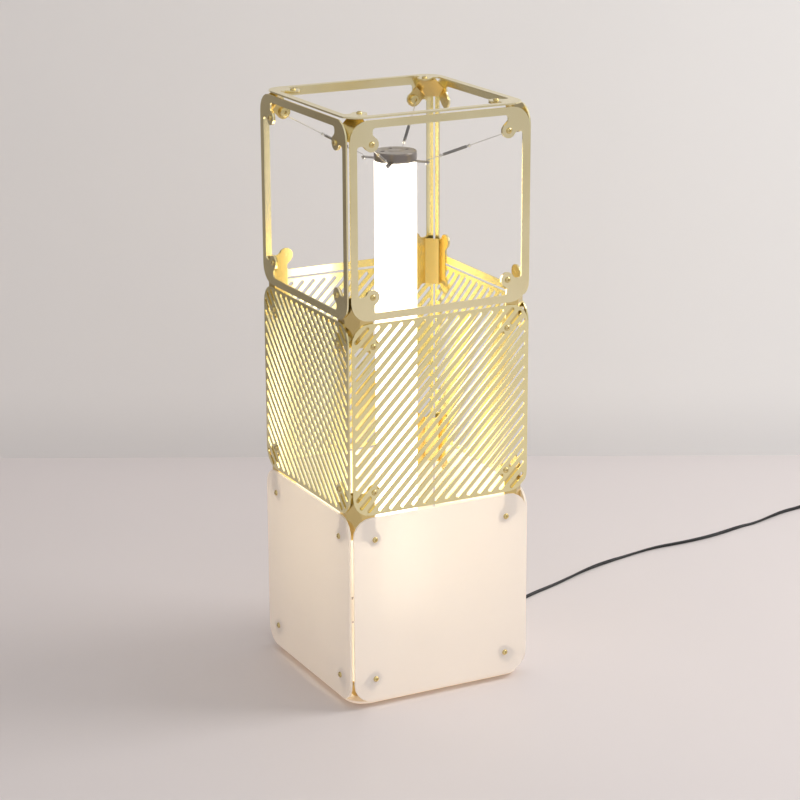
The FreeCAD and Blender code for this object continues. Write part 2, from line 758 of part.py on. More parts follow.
def wire_lines():
    """For each upper anchor: azimuth about the tube's axis, slope of the wire, the tangent
    point above the hook arm in the wire's own upright plane, and the anchor's face."""
    lines = []
    for seat, normal in anchor_spots(1):
        face = seat + normal * ANCHOR_H
        spot = face - UP * WIRE_SPOT - TUBE_AXIS
        azimuth = math.degrees(math.atan2(spot.y, spot.x))
        centre = (HOOK_HOLE_AT + WIRE_BEND_R, HOOK_TOP + WIRE_BEND_RISE)
        dx, dz = math.hypot(spot.x, spot.y) - centre[0], spot.z - centre[1]
        slope = math.degrees(math.atan2(dz, dx) - math.asin(WIRE_BEND_R / math.hypot(dx, dz)))
        lines.append((azimuth, slope, polar(centre, WIRE_BEND_R, slope + 90), face, normal))
    return lines


def in_plane(shape, azimuth):
    """From the wire's own upright plane (x outwards, z up) to its place in the lamp."""
    turned = shape.copy()
    turned.rotate(Vector(0, 0, 0), UP, azimuth)
    turned.translate(TUBE_AXIS)
    return turned


def along(slope, tangent, distance):
    """Placement of a piece drawn up the Z axis, at a distance along a wire."""
    ahead = Vector(math.cos(math.radians(slope)), 0, math.sin(math.radians(slope)))
    return Placement(Vector(tangent[0], 0, tangent[1]) + ahead * distance, Rotation(UP, ahead))


def spring_coil():
    """Extension spring of round wire up the Z axis, straight and square at both ends."""
    tail = SPRING_WIRE
    turns = SPRING_CURLS - 0.5
    climb = (SPRING_LENGTH - 2 * (tail + SPRING_ENTRY)) / turns

    def at(t):
        angle = 2 * math.pi * t
        return Vector(SPRING_R * math.cos(angle), SPRING_R * math.sin(angle),
                      tail + SPRING_ENTRY + climb * (t - 0.25))

    halves = [0.25 + 0.5 * i for i in range(int(2 * turns) + 1)]
    edges, first, last = curve_through(at, halves)
    foot, shoulder = Vector(SPRING_R, 0, 0), Vector(SPRING_R, 0, tail)
    crown = Vector(SPRING_R, 0, SPRING_LENGTH - tail)
    top = Vector(SPRING_R, 0, SPRING_LENGTH)
    edges = ([line(foot, shoulder)] + biarc(shoulder, UP, *first) + edges
             + biarc(*last, crown, UP) + [line(crown, top)])
    coil = sweep(edges, SPRING_WIRE / 2, SPRING_SIDES)
    length = sum(edge.Length for edge in edges)
    ratio = coil.Volume / (section_area(SPRING_WIRE / 2, SPRING_SIDES) * length)
    print(f"spring: least gap {least_gap(edges, SPRING_WIRE):.2f} mm, "
          f"volume against section {ratio:.4f}")
    return coil


def prism(radius, length, sides=SMALL_SIDES):
    """Small round bar up the Z axis."""
    return plate(polygon_wire(section(radius, sides)), [], length)


def inner_wire(slope, tangent):
    """Crimped end under the hook arm, bend over the arm, straight link and ferrule."""
    under = HOOK_TOP - HOOK_PLATE - FIT
    foot = Vector(HOOK_HOLE_AT, 0, under)
    bend = Vector(HOOK_HOLE_AT, 0, HOOK_TOP + WIRE_BEND_RISE)
    turn_end = Vector(tangent[0], 0, tangent[1])
    link_end = along(slope, tangent, SPRING_START - FERRULE_L).Base
    edges = [line(foot, bend), one_arc(bend, UP, turn_end), line(turn_end, link_end)]
    stop = prism(FERRULE_R, STOP_H)
    stop.translate(Vector(HOOK_HOLE_AT, 0, under - STOP_H))
    ferrule = placed(prism(FERRULE_R, FERRULE_L),
                     along(slope, tangent, SPRING_START - FERRULE_L))
    return sweep(edges, WIRE_R, WIRE_SIDES).fuse([stop, ferrule])


def outer_wire(azimuth, slope, tangent, face, normal):
    """Ferrule and straight wire, cut off at the anchor's face."""
    begin = SPRING_START + SPRING_LENGTH
    ferrule = placed(prism(FERRULE_R, FERRULE_L), along(slope, tangent, begin))
    wire = placed(prism(WIRE_R, MODULE / 2, WIRE_SIDES),
                  along(slope, tangent, begin + FERRULE_L))
    piece = in_plane(ferrule.fuse(wire), azimuth)
    size = MODULE
    beyond = Part.makeBox(size, size, size, Vector(-size / 2, -size / 2, 0))
    beyond.Placement = Placement(face, Rotation(UP, normal * -1))
    return piece.cut(beyond.copy())


def make_wires():
    lines = wire_lines()
    coil = spring_coil()
    sleeve = prism(SPRING_R + SPRING_WIRE / 2, SPRING_LENGTH)
    springs, sleeves, wires = [], [], []
    for azimuth, slope, tangent, face, normal in lines:
        start = along(slope, tangent, SPRING_START)
        springs.append(in_plane(placed(coil, start), azimuth))
        sleeves.append(lower(in_plane(placed(sleeve, start), azimuth)))
        wires.append(in_plane(inner_wire(slope, tangent), azimuth))
        wires.append(outer_wire(azimuth, slope, tangent, face, normal))
    export("upper_springs", group(springs))
    export("lower_springs", group(sleeves))
    export("upper_wires", group(wires))
    export("lower_wires", group(lower(wire) for wire in wires))


# ---- light tube ---------------------------------------------------------------

def hook_plate():
    """Ring between cap and tube, with an arm towards each anchor."""
    foot = TUBE_AXIS + UP * TUBE_ENDS[1]
    top = round_bar(foot, UP, TUBE_R, HOOK_PLATE, LARGE_SIDES)
    holes = [round_bar(foot, UP, HOOK_RING_HOLE_R, HOOK_PLATE, LARGE_SIDES)]
    for azimuth, *_ in wire_lines():
        half = HOOK_ARM_W / 2
        arm = plate(outline_wire((HOOK_RING_HOLE_R, -half), [
            ((HOOK_HOLE_AT, -half),),
            ((HOOK_ARM_REACH, 0), (HOOK_HOLE_AT, half)),
            ((HOOK_RING_HOLE_R, half),),
            ((HOOK_RING_HOLE_R, -half),)]), [], HOOK_PLATE)
        arm.translate(UP * TUBE_ENDS[1])
        top = top.fuse(in_plane(arm, azimuth))
        hole = plate(small_round(HOOK_HOLE_AT, 0, HOOK_HOLE_R), [], HOOK_PLATE)
        hole.translate(UP * TUBE_ENDS[1])
        holes.append(in_plane(hole, azimuth))
    return top.cut(holes).removeSplitter()


def cap_hole_spots():
    return [Vector(*polar(TUBE_SHIFT, CAP_HOLE_AT, angle), 0) for angle in CAP_HOLE_ANGLES]


def upper_cap():
    """Turned cap with a stepped rim, three sunk screw holes and a spigot into the tube."""
    spigot = HOOK_RING_HOLE_R - FIT
    profile = [(0, -CAP_SPIGOT), (spigot, -CAP_SPIGOT), (spigot, 0), (CAP_R, 0),
               (CAP_R, CAP_H - CAP_RIM_H), (CAP_R - CAP_RIM_STEP, CAP_H - CAP_RIM_H),
               (CAP_R - CAP_RIM_STEP, CAP_H), (0, CAP_H)]
    cap = turned(profile, TUBE_AXIS + UP * HOOK_TOP, UP, LARGE_SIDES)
    tools = []
    for spot in cap_hole_spots():
        sink = plate(polygon_wire(ring(CAP_HOLE_R, TURNED_SIDES)), [], CAP_H - CAP_FLOOR)
        sink.translate(spot + UP * (HOOK_TOP + CAP_FLOOR))
        bore = plate(small_round(0, 0, CAP_SCREW_R + SCREW_HOLE_CLEAR), [],
                     CAP_FLOOR + CAP_SPIGOT)
        bore.translate(spot + UP * (HOOK_TOP - CAP_SPIGOT))
        tools += [sink, bore]
    return cap.cut(tools)


def cap_screws():
    """The three screws of the upper cap, with a hexagon socket each."""
    screws = []
    under_head = HOOK_TOP + CAP_FLOOR
    for spot in cap_hole_spots():
        head = plate(small_round(0, 0, CAP_SCREW_HEAD_R), [], CAP_SCREW_HEAD_H)
        shank = plate(small_round(0, 0, CAP_SCREW_R), [],
                      -(CAP_FLOOR + CAP_SPIGOT + CAP_SCREW_REACH))
        socket = plate(polygon_wire(section(CAP_SOCKET_R, 6)), [], CAP_SOCKET_DEEP)
        socket.translate(UP * (CAP_SCREW_HEAD_H - CAP_SOCKET_DEEP))
        piece = head.fuse(shank).removeSplitter().cut(socket)
        piece.translate(spot + UP * under_head)
        screws.append(piece)
    return screws


def make_tube():
    low, high = TUBE_ENDS
    tube = plate(large_round(TUBE_R), [large_round(TUBE_R - TUBE_WALL)], high - low)
    tube.translate(TUBE_AXIS + UP * low)
    export("light_tube", tube)

    plate_up, cap_up, screws_up = hook_plate(), upper_cap(), cap_screws()
    export("upper_hook_plate", plate_up)
    export("lower_hook_plate", lower(plate_up))
    export("upper_cap", cap_up)
    cap_low_face = 2 * COLUMN_MIDDLE - (HOOK_TOP + CAP_H)
    lead_bore = round_bar(TUBE_AXIS + UP * cap_low_face, UP,
                          LEAD_GLAND_SPIGOT_R + FIT / 2, CAP_H + CAP_SPIGOT, TURNED_SIDES)
    export("lower_cap", lower(cap_up).cut(lead_bore))
    export("cap_screws", group(screws_up + [lower(piece) for piece in screws_up]))

    inner_face = HOOK_TOP - CAP_SPIGOT
    core_low = 2 * COLUMN_MIDDLE - inner_face
    reach = CORE_FLATS_R / math.cos(math.pi / CORE_SIDES)
    bore = polygon_wire(ring(CORE_BORE_R, TURNED_SIDES))
    core = plate(polygon_wire(section(reach, CORE_SIDES)), [bore], inner_face - core_low)
    core.translate(TUBE_AXIS + UP * core_low)
    for spot in cap_hole_spots():
        hole = plate(small_round(0, 0, CAP_SCREW_R + HUB_HOLE_CLEAR), [], CAP_SCREW_REACH + 1)
        hole.translate(spot + UP * (inner_face - CAP_SCREW_REACH - 1))
        core = core.cut([hole, lower(hole)])
    export("led_core", core)

    strips = []
    for number in range(CORE_SIDES):
        strip = Part.makeBox(STRIP_H, STRIP_W, inner_face - core_low - 2 * STRIP_END_GAP,
                             Vector(CORE_FLATS_R, -STRIP_W / 2, core_low + STRIP_END_GAP))
        strips.append(in_plane(strip, 360 * number / CORE_SIDES))
    export("led_strips", group(strips))

    width, depth, length = DRIVER_SIZE
    driver = Part.makeBox(width, depth, length, Vector(-width / 2, -depth / 2, core_low))
    driver.translate(TUBE_AXIS)
    export("driver", driver)

    blind = cap_low_face - LEAD_GLAND_H + LEAD_END_DEEP
    profile = [(0, blind), (LEAD_R + FIT, blind), (LEAD_R + FIT, cap_low_face - LEAD_GLAND_H),
               (LEAD_GLAND_R - LEAD_GLAND_TAPER, cap_low_face - LEAD_GLAND_H),
               (LEAD_GLAND_R, cap_low_face - LEAD_GLAND_H + 1),
               (LEAD_GLAND_R, cap_low_face), (LEAD_GLAND_SPIGOT_R, cap_low_face),
               (LEAD_GLAND_SPIGOT_R, core_low), (0, core_low)]
    export("tube_gland", turned(profile, TUBE_AXIS, UP, TURNED_SIDES))
    return blind


# ---- lead, cord, switch and plug ----------------------------------------------

def make_outlet():
    """Bush that passes the cord through the back right diffuser, with its sleeve."""
    bore = CORD_R + FIT
    spigot = OUTLET_R - FIT
    outer = ACRYLIC_SHEET + BUSH_FLANGE_H
    profile = [(bore, -BUSH_NUT_H), (BUSH_FLANGE_R, -BUSH_NUT_H), (BUSH_FLANGE_R, 0), (spigot, 0),
               (spigot, ACRYLIC_SHEET), (BUSH_FLANGE_R, ACRYLIC_SHEET), (BUSH_FLANGE_R, outer),
               (RELIEF_R[0], outer), (RELIEF_R[1], outer + RELIEF_L), (bore, outer + RELIEF_L)]
    place = Vector(CORE_HALF, *OUTLET)
    export("outlet_bush", turned(profile, place, Vector(1, 0, 0), TURNED_SIDES))


def make_lead(top):
    """Lead from the tube's lower end to the outlet, slack enough for the tube to bob."""
    x, y = TUBE_SHIFT
    exit_y, exit_z = OUTLET
    route = [(x, y, top), (x, y, top - LEAD_DROP),
             (x + LEAD_TURN[0], y + LEAD_TURN[1], exit_z),
             (*LEAD_REST[0], exit_z + LEAD_HUMP), (*LEAD_REST[1], exit_z),
             (CORD_START, exit_y, exit_z)]
    export("inner_lead", routed("inner lead", route, LEAD_R, CORD_SIDES))


def make_cord():
    exit_y, exit_z = OUTLET
    route = [(CORD_START, exit_y, exit_z), (CORD_STRAIGHT, exit_y, exit_z)]
    route += [(px, py, CORD_R) for px, py in FLOOR_POINTS]
    switch_x, switch_y = SWITCH_AT
    route.append((switch_x - SWITCH_LEVEL_RUN, switch_y, SWITCH_SPLIT))
    route.append((switch_x + SWITCH_CORD_IN, switch_y, SWITCH_SPLIT))
    return routed("cord", route, CORD_R, CORD_SIDES)


def switch_outline(grow):
    """Plan of the switch housing, with chamfered corners, drawn from its left end."""
    long, half = SWITCH_SIZE[0] + grow, SWITCH_SIZE[1] / 2 + grow
    cut = SWITCH_CORNER
    return polygon_wire([(-grow, -half + cut), (-grow + cut, -half), (long - cut, -half),
                         (long, -half + cut), (long, half - cut), (long - cut, half),
                         (-grow + cut, half), (-grow, half - cut)])


def make_switch():
    long, wide, height = SWITCH_SIZE
    place = Vector(SWITCH_AT[0], SWITCH_AT[1], 0)
    wall = SWITCH_WALL
    cords = round_bar(Vector(-1, 0, SWITCH_SPLIT), Vector(1, 0, 0), CORD_R + FIT, long + 2,
                      CORD_SIDES)
    middle = Vector(long / 2, 0, PIVOT_Z)

    base = plate(switch_outline(0), [], SWITCH_SPLIT)
    cavity = plate(switch_outline(-wall), [], SWITCH_SPLIT)
    cavity.translate(UP * wall)
    base = base.cut([cavity, cords])
    posts = []
    for sign in (1, -1):
        inside = ROCKER_W / 2 + ROCKER_SIDE_GAP
        post = Part.makeBox(POST_L, POST_W, PIVOT_Z + PIVOT_R - wall,
                            Vector(long / 2 - POST_L / 2, inside, wall))
        if sign < 0:
            post = post.mirror(Vector(0, 0, 0), Vector(0, 1, 0))
        posts.append(post)
    bearing = Part.makeCylinder(PIVOT_R + PIVOT_CLEAR, wide, middle - Vector(0, wide / 2, 0),
                                Vector(0, 1, 0))
    slit = Part.makeBox(2 * (PIVOT_R + PIVOT_CLEAR), wide, height,
                        middle - Vector(PIVOT_R + PIVOT_CLEAR, wide / 2, 0))
    lean = math.radians(ROCKER_TILT)
    reach = ROCKER_L / 2 - ROCKER_TAPER
    sunk = PIVOT_Z - ROCKER_SKIRT * math.cos(lean) - reach * math.sin(lean)
    ribs = [Part.makeBox(RIB_L, ROCKER_W, sunk - FIT - wall,
                         Vector(long / 2 + sign * reach - RIB_L / 2, -ROCKER_W / 2, wall))
            for sign in (1, -1)]
    base = base.fuse([post.cut([bearing, slit]) for post in posts] + ribs).removeSplitter()
    base.translate(place)
    export("switch_base", base)

    top = height - SWITCH_CHAMFER
    inset = wedge_loft([at_height(switch_outline(0), top),
                        at_height(switch_outline(-SWITCH_CHAMFER), height)])
    cover = plate(switch_outline(0), [], top - SWITCH_SPLIT)
    cover.translate(UP * SWITCH_SPLIT)
    hollow = plate(switch_outline(-wall - SWITCH_CHAMFER / 2), [], height - wall - SWITCH_SPLIT)
    hollow.translate(UP * SWITCH_SPLIT)
    window_l, window_w = ROCKER_L + 2 * ROCKER_END_GAP, ROCKER_W + 2 * ROCKER_SIDE_GAP
    window = Part.makeBox(window_l, window_w, height,
                          Vector((long - window_l) / 2, -window_w / 2, SWITCH_SPLIT))
    cover = cover.fuse(inset).removeSplitter().cut([hollow, window, cords])
    cover.translate(place)
    export("switch_cover", cover)

    export("switch_rocker", rocker(middle + place))


def rocker(middle):
    """Rocker with two sloping faces about its pivot, shown at rest with its left end down."""
    half = ROCKER_L / 2
    lean = math.radians(ROCKER_TILT)
    crown = ROCKER_TOP
    tip = crown - half * math.tan(lean)
    foot = half - ROCKER_TAPER
    profile = [(0, crown), (half, tip), (foot, -ROCKER_SKIRT), (-foot, -ROCKER_SKIRT),
               (-half, tip)]
    points = [Vector(px, -ROCKER_W / 2, pz) for px, pz in profile]
    body = Part.Face(Part.makePolygon(points + points[:1])).extrude(Vector(0, ROCKER_W, 0))
    pin_l = ROCKER_W + 2 * (ROCKER_SIDE_GAP + POST_W)
    pin = Part.makeCylinder(PIVOT_R, pin_l, Vector(0, -pin_l / 2, 0), Vector(0, 1, 0))
    piece = body.fuse(pin).removeSplitter()
    piece.rotate(Vector(0, 0, 0), Vector(0, 1, 0), -ROCKER_TILT)
    piece.translate(middle)
    return piece


def coil_curve(t):
    """The coiled cord: t counts turns, in to the middle of the climb and out again above."""
    half_way = COIL_TURNS / 2
    radius = COIL_OUT_R - COIL_PITCH * (t if t < half_way else COIL_TURNS - t)
    climb = min(max((t - half_way + 0.25) / 0.5, 0), 1)
    angle = math.pi / 2 - 2 * math.pi * t
    return Vector(COIL_AT[0] + radius * math.cos(angle), COIL_AT[1] + radius * math.sin(angle),
                  COIL_Z + COIL_PITCH * climb)


def make_coil():
    quarters = [0.25 * i for i in range(int(4 * COIL_TURNS) + 1)]
    edges, first, last = curve_through(coil_curve, quarters)
    ahead = Vector(1, 0, 0)
    begin = Vector(SWITCH_AT[0] + SWITCH_SIZE[0] - SWITCH_CORD_IN, SWITCH_AT[1], SWITCH_SPLIT)
    leave = begin + ahead * (SWITCH_CORD_IN + 2 * CORD_R)
    plug = Vector(*PLUG_AT)
    near = plug + ahead * (2 * CORD_R)
    edges = ([line(begin, leave)] + biarc(leave, ahead, *first) + edges
             + biarc(*last, near, ahead * -1) + [line(near, plug)])
    solid = sweep(edges, CORD_R, CORD_SIDES)
    length = sum(edge.Length for edge in edges)
    ratio = solid.Volume / (section_area(CORD_R, CORD_SIDES) * length)
    print(f"coil: {length:.0f} mm long, least gap {least_gap(edges, 2 * CORD_R):.2f} mm, "
          f"inner radius {COIL_OUT_R - COIL_PITCH * COIL_TURNS / 2:.1f}, "
          f"volume against section {ratio:.4f}")
    return solid


def make_tie():
    """Band round the coil, on its side away from the column. The coil lies on it."""
    nearest = COIL_OUT_R - COIL_PITCH * (COIL_TURNS / 2 - 0.5) - CORD_R - 2 * FIT
    farthest = COIL_OUT_R - COIL_PITCH * 0.25 + CORD_R + FIT
    top = COIL_Z + COIL_PITCH + CORD_R + FIT
    x, y = COIL_AT
    outer = Part.makeBox(farthest - nearest + 2 * TIE_SHEET, TIE_W, top + TIE_SHEET,
                         Vector(x + nearest - TIE_SHEET, y - TIE_W / 2, 0))
    inner = Part.makeBox(farthest - nearest, TIE_W, top - TIE_SHEET,
                         Vector(x + nearest, y - TIE_W / 2, TIE_SHEET))
    export("cord_tie", outer.cut(inner))


def plug_section(x, half_wide, half_high, cut):
    """Chamfered rectangle across the plug, at a distance behind its pin face."""
    points = [(half_wide, half_high - cut), (half_wide - cut, half_high),
              (cut - half_wide, half_high), (-half_wide, half_high - cut),
              (-half_wide, cut - half_high), (cut - half_wide, -half_high),
              (half_wide - cut, -half_high), (half_wide, cut - half_high)]
    return Part.makePolygon([Vector(x, py, pz) for py, pz in points + points[:1]])


def wedge_loft(wires):
    """Solid with flat faces between polygons that have the same number of corners."""
    rings = [[vertex.Point for vertex in wire.OrderedVertexes] for wire in wires]
    faces = [Part.Face(wires[0]), Part.Face(wires[-1])]
    for near, far in zip(rings, rings[1:]):
        for i in range(len(near)):
            j = (i + 1) % len(near)
            faces.append(Part.Face(Part.makePolygon([near[i], near[j], far[j], far[i], near[i]])))
    solid = Part.Solid(Part.makeShell(faces))
    if solid.Volume < 0:
        solid.reverse()
    return solid


def make_plug():
    end = Vector(*PLUG_AT)
    length = sum(PLUG_LENGTHS)
    face = end - Vector(length - PLUG_CORD_IN, 0, 0)
    stations = [0, PLUG_LENGTHS[0], PLUG_LENGTHS[0] + PLUG_LENGTHS[1], length]
    wires = [plug_section(x, *size) for x, size in zip(stations, PLUG_SECTIONS)]
    body = wedge_loft(wires)
    bore = round_bar(Vector(length - PLUG_CORD_IN, 0, 0), Vector(1, 0, 0),
                     CORD_R + FIT, PLUG_CORD_IN, CORD_SIDES)
    body = body.cut(bore)
    body.translate(face)
    export("plug_body", body)
    pins = []
    for sign in (1, -1):
        pin = prism(PIN_R, PIN_L)
        pin.Placement = Placement(face + Vector(0, sign * PIN_SPACING / 2, 0),
                                  Rotation(UP, Vector(-1, 0, 0)))
        pins.append(pin)
    export("plug_pins", group(pins))


make_panels()
make_hubs()
make_screws()
make_feet()
make_anchors()
make_wires()
LEAD_TOP = make_tube()
make_outlet()
make_lead(LEAD_TOP)
export("cord", group([make_cord(), make_coil()]))
make_switch()
make_tie()
make_plug()
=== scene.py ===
"""Column floor lamp: three stacked cubes of brass and frosted acrylic round a hung light tube."""
import math
from collections import namedtuple

import bmesh
import bpy
from mathutils import Matrix, Vector


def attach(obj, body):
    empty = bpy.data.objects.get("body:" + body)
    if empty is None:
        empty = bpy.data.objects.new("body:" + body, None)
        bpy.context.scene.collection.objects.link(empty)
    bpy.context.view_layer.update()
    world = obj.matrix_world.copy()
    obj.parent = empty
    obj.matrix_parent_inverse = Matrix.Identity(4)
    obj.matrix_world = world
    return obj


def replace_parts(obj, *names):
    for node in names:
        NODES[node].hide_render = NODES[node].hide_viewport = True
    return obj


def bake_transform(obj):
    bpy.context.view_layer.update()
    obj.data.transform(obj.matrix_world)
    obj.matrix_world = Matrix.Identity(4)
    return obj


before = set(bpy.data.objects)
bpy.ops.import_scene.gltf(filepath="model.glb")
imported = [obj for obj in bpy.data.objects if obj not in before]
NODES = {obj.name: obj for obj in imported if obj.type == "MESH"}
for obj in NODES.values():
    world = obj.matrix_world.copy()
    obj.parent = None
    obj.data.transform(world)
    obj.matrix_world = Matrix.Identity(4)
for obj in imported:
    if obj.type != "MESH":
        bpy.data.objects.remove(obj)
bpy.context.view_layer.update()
UP = Vector((0, 0, 1))

# ---- sizes, in metres -----------------------------------------------------------

CORE_HALF = 0.125
CUBE_MIDDLES = (0.133, 0.383, 0.633)
TOP_Z = 0.758
BRASS_SHEET = 0.002
ACRYLIC_SHEET = 0.003
HUB_INNER = 0.1235
SCREW_AT = 0.094
SCREW_R = 0.002
SCREW_REACH = 0.0012
ANCHOR_SCREW_REACH = 0.004
SCREW_HEAD_R = 0.0038
SCREW_HEAD_H = 0.0022
SOCKET_R = 0.0014
SOCKET_DEEP = 0.0012
ANCHOR_LENGTH = 0.0045
FOOT_HEIGHT = 0.005
FOOT_CLAMP = 0.0022
TUBE_AXIS = Vector((0.002, -0.001, 0))
TUBE_R = 0.0268
TUBE_ENDS = (0.0886, 0.6774)
HOOK_TOP = 0.679
HOOK_PLATE = 0.0016
HOOK_HOLE_AT = 0.04375
WIRE_R = 0.0005
WIRE_BEND_R = 0.002
WIRE_BEND_RISE = 0.0003
WIRE_BELOW_SCREW = 0.0036
SPRING_R = 0.0016
SPRING_WIRE_R = 0.0004
SPRING_START = 0.020
SPRING_LENGTH = 0.039
SPRING_TURNS = 33
SPRING_END = 0.0026
SPRING_TAIL = 0.0022
FERRULE_R = 0.0021
FERRULE_L = 0.0025
CAP_R = 0.0272
CAP_H = 0.0105
CAP_FLOOR = 0.004
CAP_HOLE_R = 0.0029
CAP_HOLE_AT = 0.01675
CAP_HOLE_ANGLES = (5, 85, 168)
CAP_SCREW_R = 0.0026
CAP_SCREW_H = 0.003
OUTLET = Vector((CORE_HALF, 0.060, 0.034))

# the tube's lower end mirrors its upper end
MIRROR = Matrix.Translation((0, 0, 2 * CUBE_MIDDLES[1])) @ Matrix.Diagonal((1, 1, -1, 1))

# sides of the column: direction to the right as seen from outside, and outward normal
SIDES = {
    "front_right": (Vector((1, 0, 0)), Vector((0, -1, 0))),
    "front_left": (Vector((0, -1, 0)), Vector((-1, 0, 0))),
    "back_right": (Vector((0, 1, 0)), Vector((1, 0, 0))),
    "back_left": (Vector((-1, 0, 0)), Vector((0, 1, 0))),
}
SCREW_SPOTS = [(SCREW_AT * sx, SCREW_AT * sy) for sx, sy in ((1, 1), (1, -1), (-1, 1), (-1, -1))]

# corners with a wire anchor, in the order in which the wires go round
ANCHOR_CORNERS = {"back": (1, 1), "left": (-1, 1), "front": (-1, -1), "right": (1, -1)}

# angles past which an edge is shaded sharp, or gets a broken edge
SHARP_EDGE = math.radians(38)
SHARP_CAD_EDGE = math.radians(30)
BROKEN_EDGE = math.radians(50)


def new_object(name, data):
    """An object with its data, in the scene."""
    made = bpy.data.objects.new(name, data)
    bpy.context.scene.collection.objects.link(made)
    return made


# ---- camera ---------------------------------------------------------------------

VIEW_AZIMUTH, VIEW_ELEVATION, VIEW_ROLL = -0.476, 0.295, -0.004
VIEW_FROM = (-1.388664, -2.708663, 1.2868)
SENSOR_MM, LENS_MM = 36.0, 110.58


def place_camera():
    """The photograph's camera: where it stands, where it looks, and its long lens."""
    back = Vector((math.sin(VIEW_AZIMUTH) * math.cos(VIEW_ELEVATION),
                   -math.cos(VIEW_AZIMUTH) * math.cos(VIEW_ELEVATION),
                   math.sin(VIEW_ELEVATION)))
    right = (-back).cross(UP).normalized()
    up = right.cross(-back)
    tilted_right = right * math.cos(VIEW_ROLL) + up * math.sin(VIEW_ROLL)
    tilted_up = up * math.cos(VIEW_ROLL) - right * math.sin(VIEW_ROLL)
    turn = Matrix((tilted_right, tilted_up, back)).transposed().to_4x4()
    lens = bpy.data.cameras.new("view_camera")
    lens.sensor_width = SENSOR_MM
    lens.lens = LENS_MM
    lens.clip_start, lens.clip_end = 0.05, 60
    camera = new_object("view_camera", lens)
    camera.matrix_world = Matrix.Translation(VIEW_FROM) @ turn
    bpy.context.scene.camera = camera


# ---- nodes of materials ---------------------------------------------------------

def feed(tree, node, sockets):
    """Give each input its value, or a link where what is given is another node's socket."""
    for name, value in sockets.items():
        if isinstance(value, bpy.types.NodeSocket):
            tree.links.new(value, node.inputs[name])
        else:
            node.inputs[name].default_value = value


def add(tree, kind, place, sockets=None, **settings):
    """One node: settings are its attributes, and sockets holds what its inputs get."""
    made = tree.nodes.new(kind)
    made.location = place
    for name, value in settings.items():
        setattr(made, name, value)
    feed(tree, made, sockets or {})
    return made


def new_group(name, inputs, outputs):
    """A node group, the sockets of what it is given, and the node that takes its results.

    Each input has a default, which is a number or a vector. Each output is a number."""
    group = bpy.data.node_groups.new(name, "ShaderNodeTree")
    for socket, value in inputs.items():
        kind = "NodeSocketVector" if isinstance(value, tuple) else "NodeSocketFloat"
        made = group.interface.new_socket(name=socket, in_out="INPUT", socket_type=kind)
        made.default_value = value
    for socket in outputs:
        group.interface.new_socket(name=socket, in_out="OUTPUT", socket_type="NodeSocketFloat")
    given = add(group, "NodeGroupInput", (-900, 0)).outputs
    return group, given, add(group, "NodeGroupOutput", (700, 0))


def object_place(tree, place):
    """Where a point of the object is, in metres."""
    return add(tree, "ShaderNodeTexCoord", place).outputs["Object"]


def worked_out(tree, operation, one, other, place):
    """One number of two."""
    return add(tree, "ShaderNodeMath", place, {0: one, 1: other}, operation=operation).outputs[0]


def remap(tree, value, place, soft=False, **ends):
    """The value from one range to another. Ends are from_min, from_max, to_min and to_max."""
    sockets = {name.replace("_", " ").title(): end for name, end in ends.items()}
    return add(tree, "ShaderNodeMapRange", place, {"Value": value, **sockets},
               interpolation_type="SMOOTHSTEP" if soft else "LINEAR").outputs["Result"]


def mixed(tree, mask, first, second, place, blend_type="MIX"):
    """Colour from the first to the second by a mask. Each is a tone or another node's socket."""
    ends = [end if isinstance(end, bpy.types.NodeSocket) else (*end, 1) for end in (first, second)]
    return add(tree, "ShaderNodeMix", place, {"Factor": mask, "A": ends[0], "B": ends[1]},
               data_type="RGBA", blend_type=blend_type).outputs["Result"]


def brushed_group():
    """Fine lines of brushed or rolled metal, stretched along one direction, and soft clouds."""
    group, given, result = new_group(
        "brushed_lines", {"Stretch": (1, 1, 1), "Fineness": 900.0, "Cloud Size": 7.0},
        ("Lines", "Clouds"))
    place = object_place(group, (-900, -250))
    stretched = add(group, "ShaderNodeVectorMath", (-650, -100), {0: place, 1: given["Stretch"]},
                    operation="MULTIPLY").outputs[0]
    lines = add(group, "ShaderNodeTexNoise", (-400, -50),
                {"Vector": stretched, "Scale": given["Fineness"], "Detail": 4.0,
                 "Roughness": 0.65}).outputs["Fac"]
    clouds = add(group, "ShaderNodeTexNoise", (-400, -350),
                 {"Vector": place, "Scale": given["Cloud Size"], "Detail": 3.0}).outputs["Fac"]
    feed(group, result, {"Lines": lines, "Clouds": remap(group, clouds, (0, -350),
                                                         from_min=0.3, from_max=0.7)})
    return group


def mould_group():
    """Fine pebbled skin of moulded plastic or rubber, and faint larger unevenness."""
    group, given, result = new_group(
        "moulded_skin", {"Pebble Size": 2500.0, "Patch Size": 30.0}, ("Pebbles", "Patches"))
    place = object_place(group, (-900, -250))
    pebbles = add(group, "ShaderNodeTexVoronoi", (-400, 0),
                  {"Vector": place, "Scale": given["Pebble Size"]}).outputs["Distance"]
    patches = add(group, "ShaderNodeTexNoise", (-400, -300),
                  {"Vector": place, "Scale": given["Patch Size"], "Detail": 5.0}).outputs["Fac"]
    feed(group, result, {"Pebbles": pebbles, "Patches": patches})
    return group


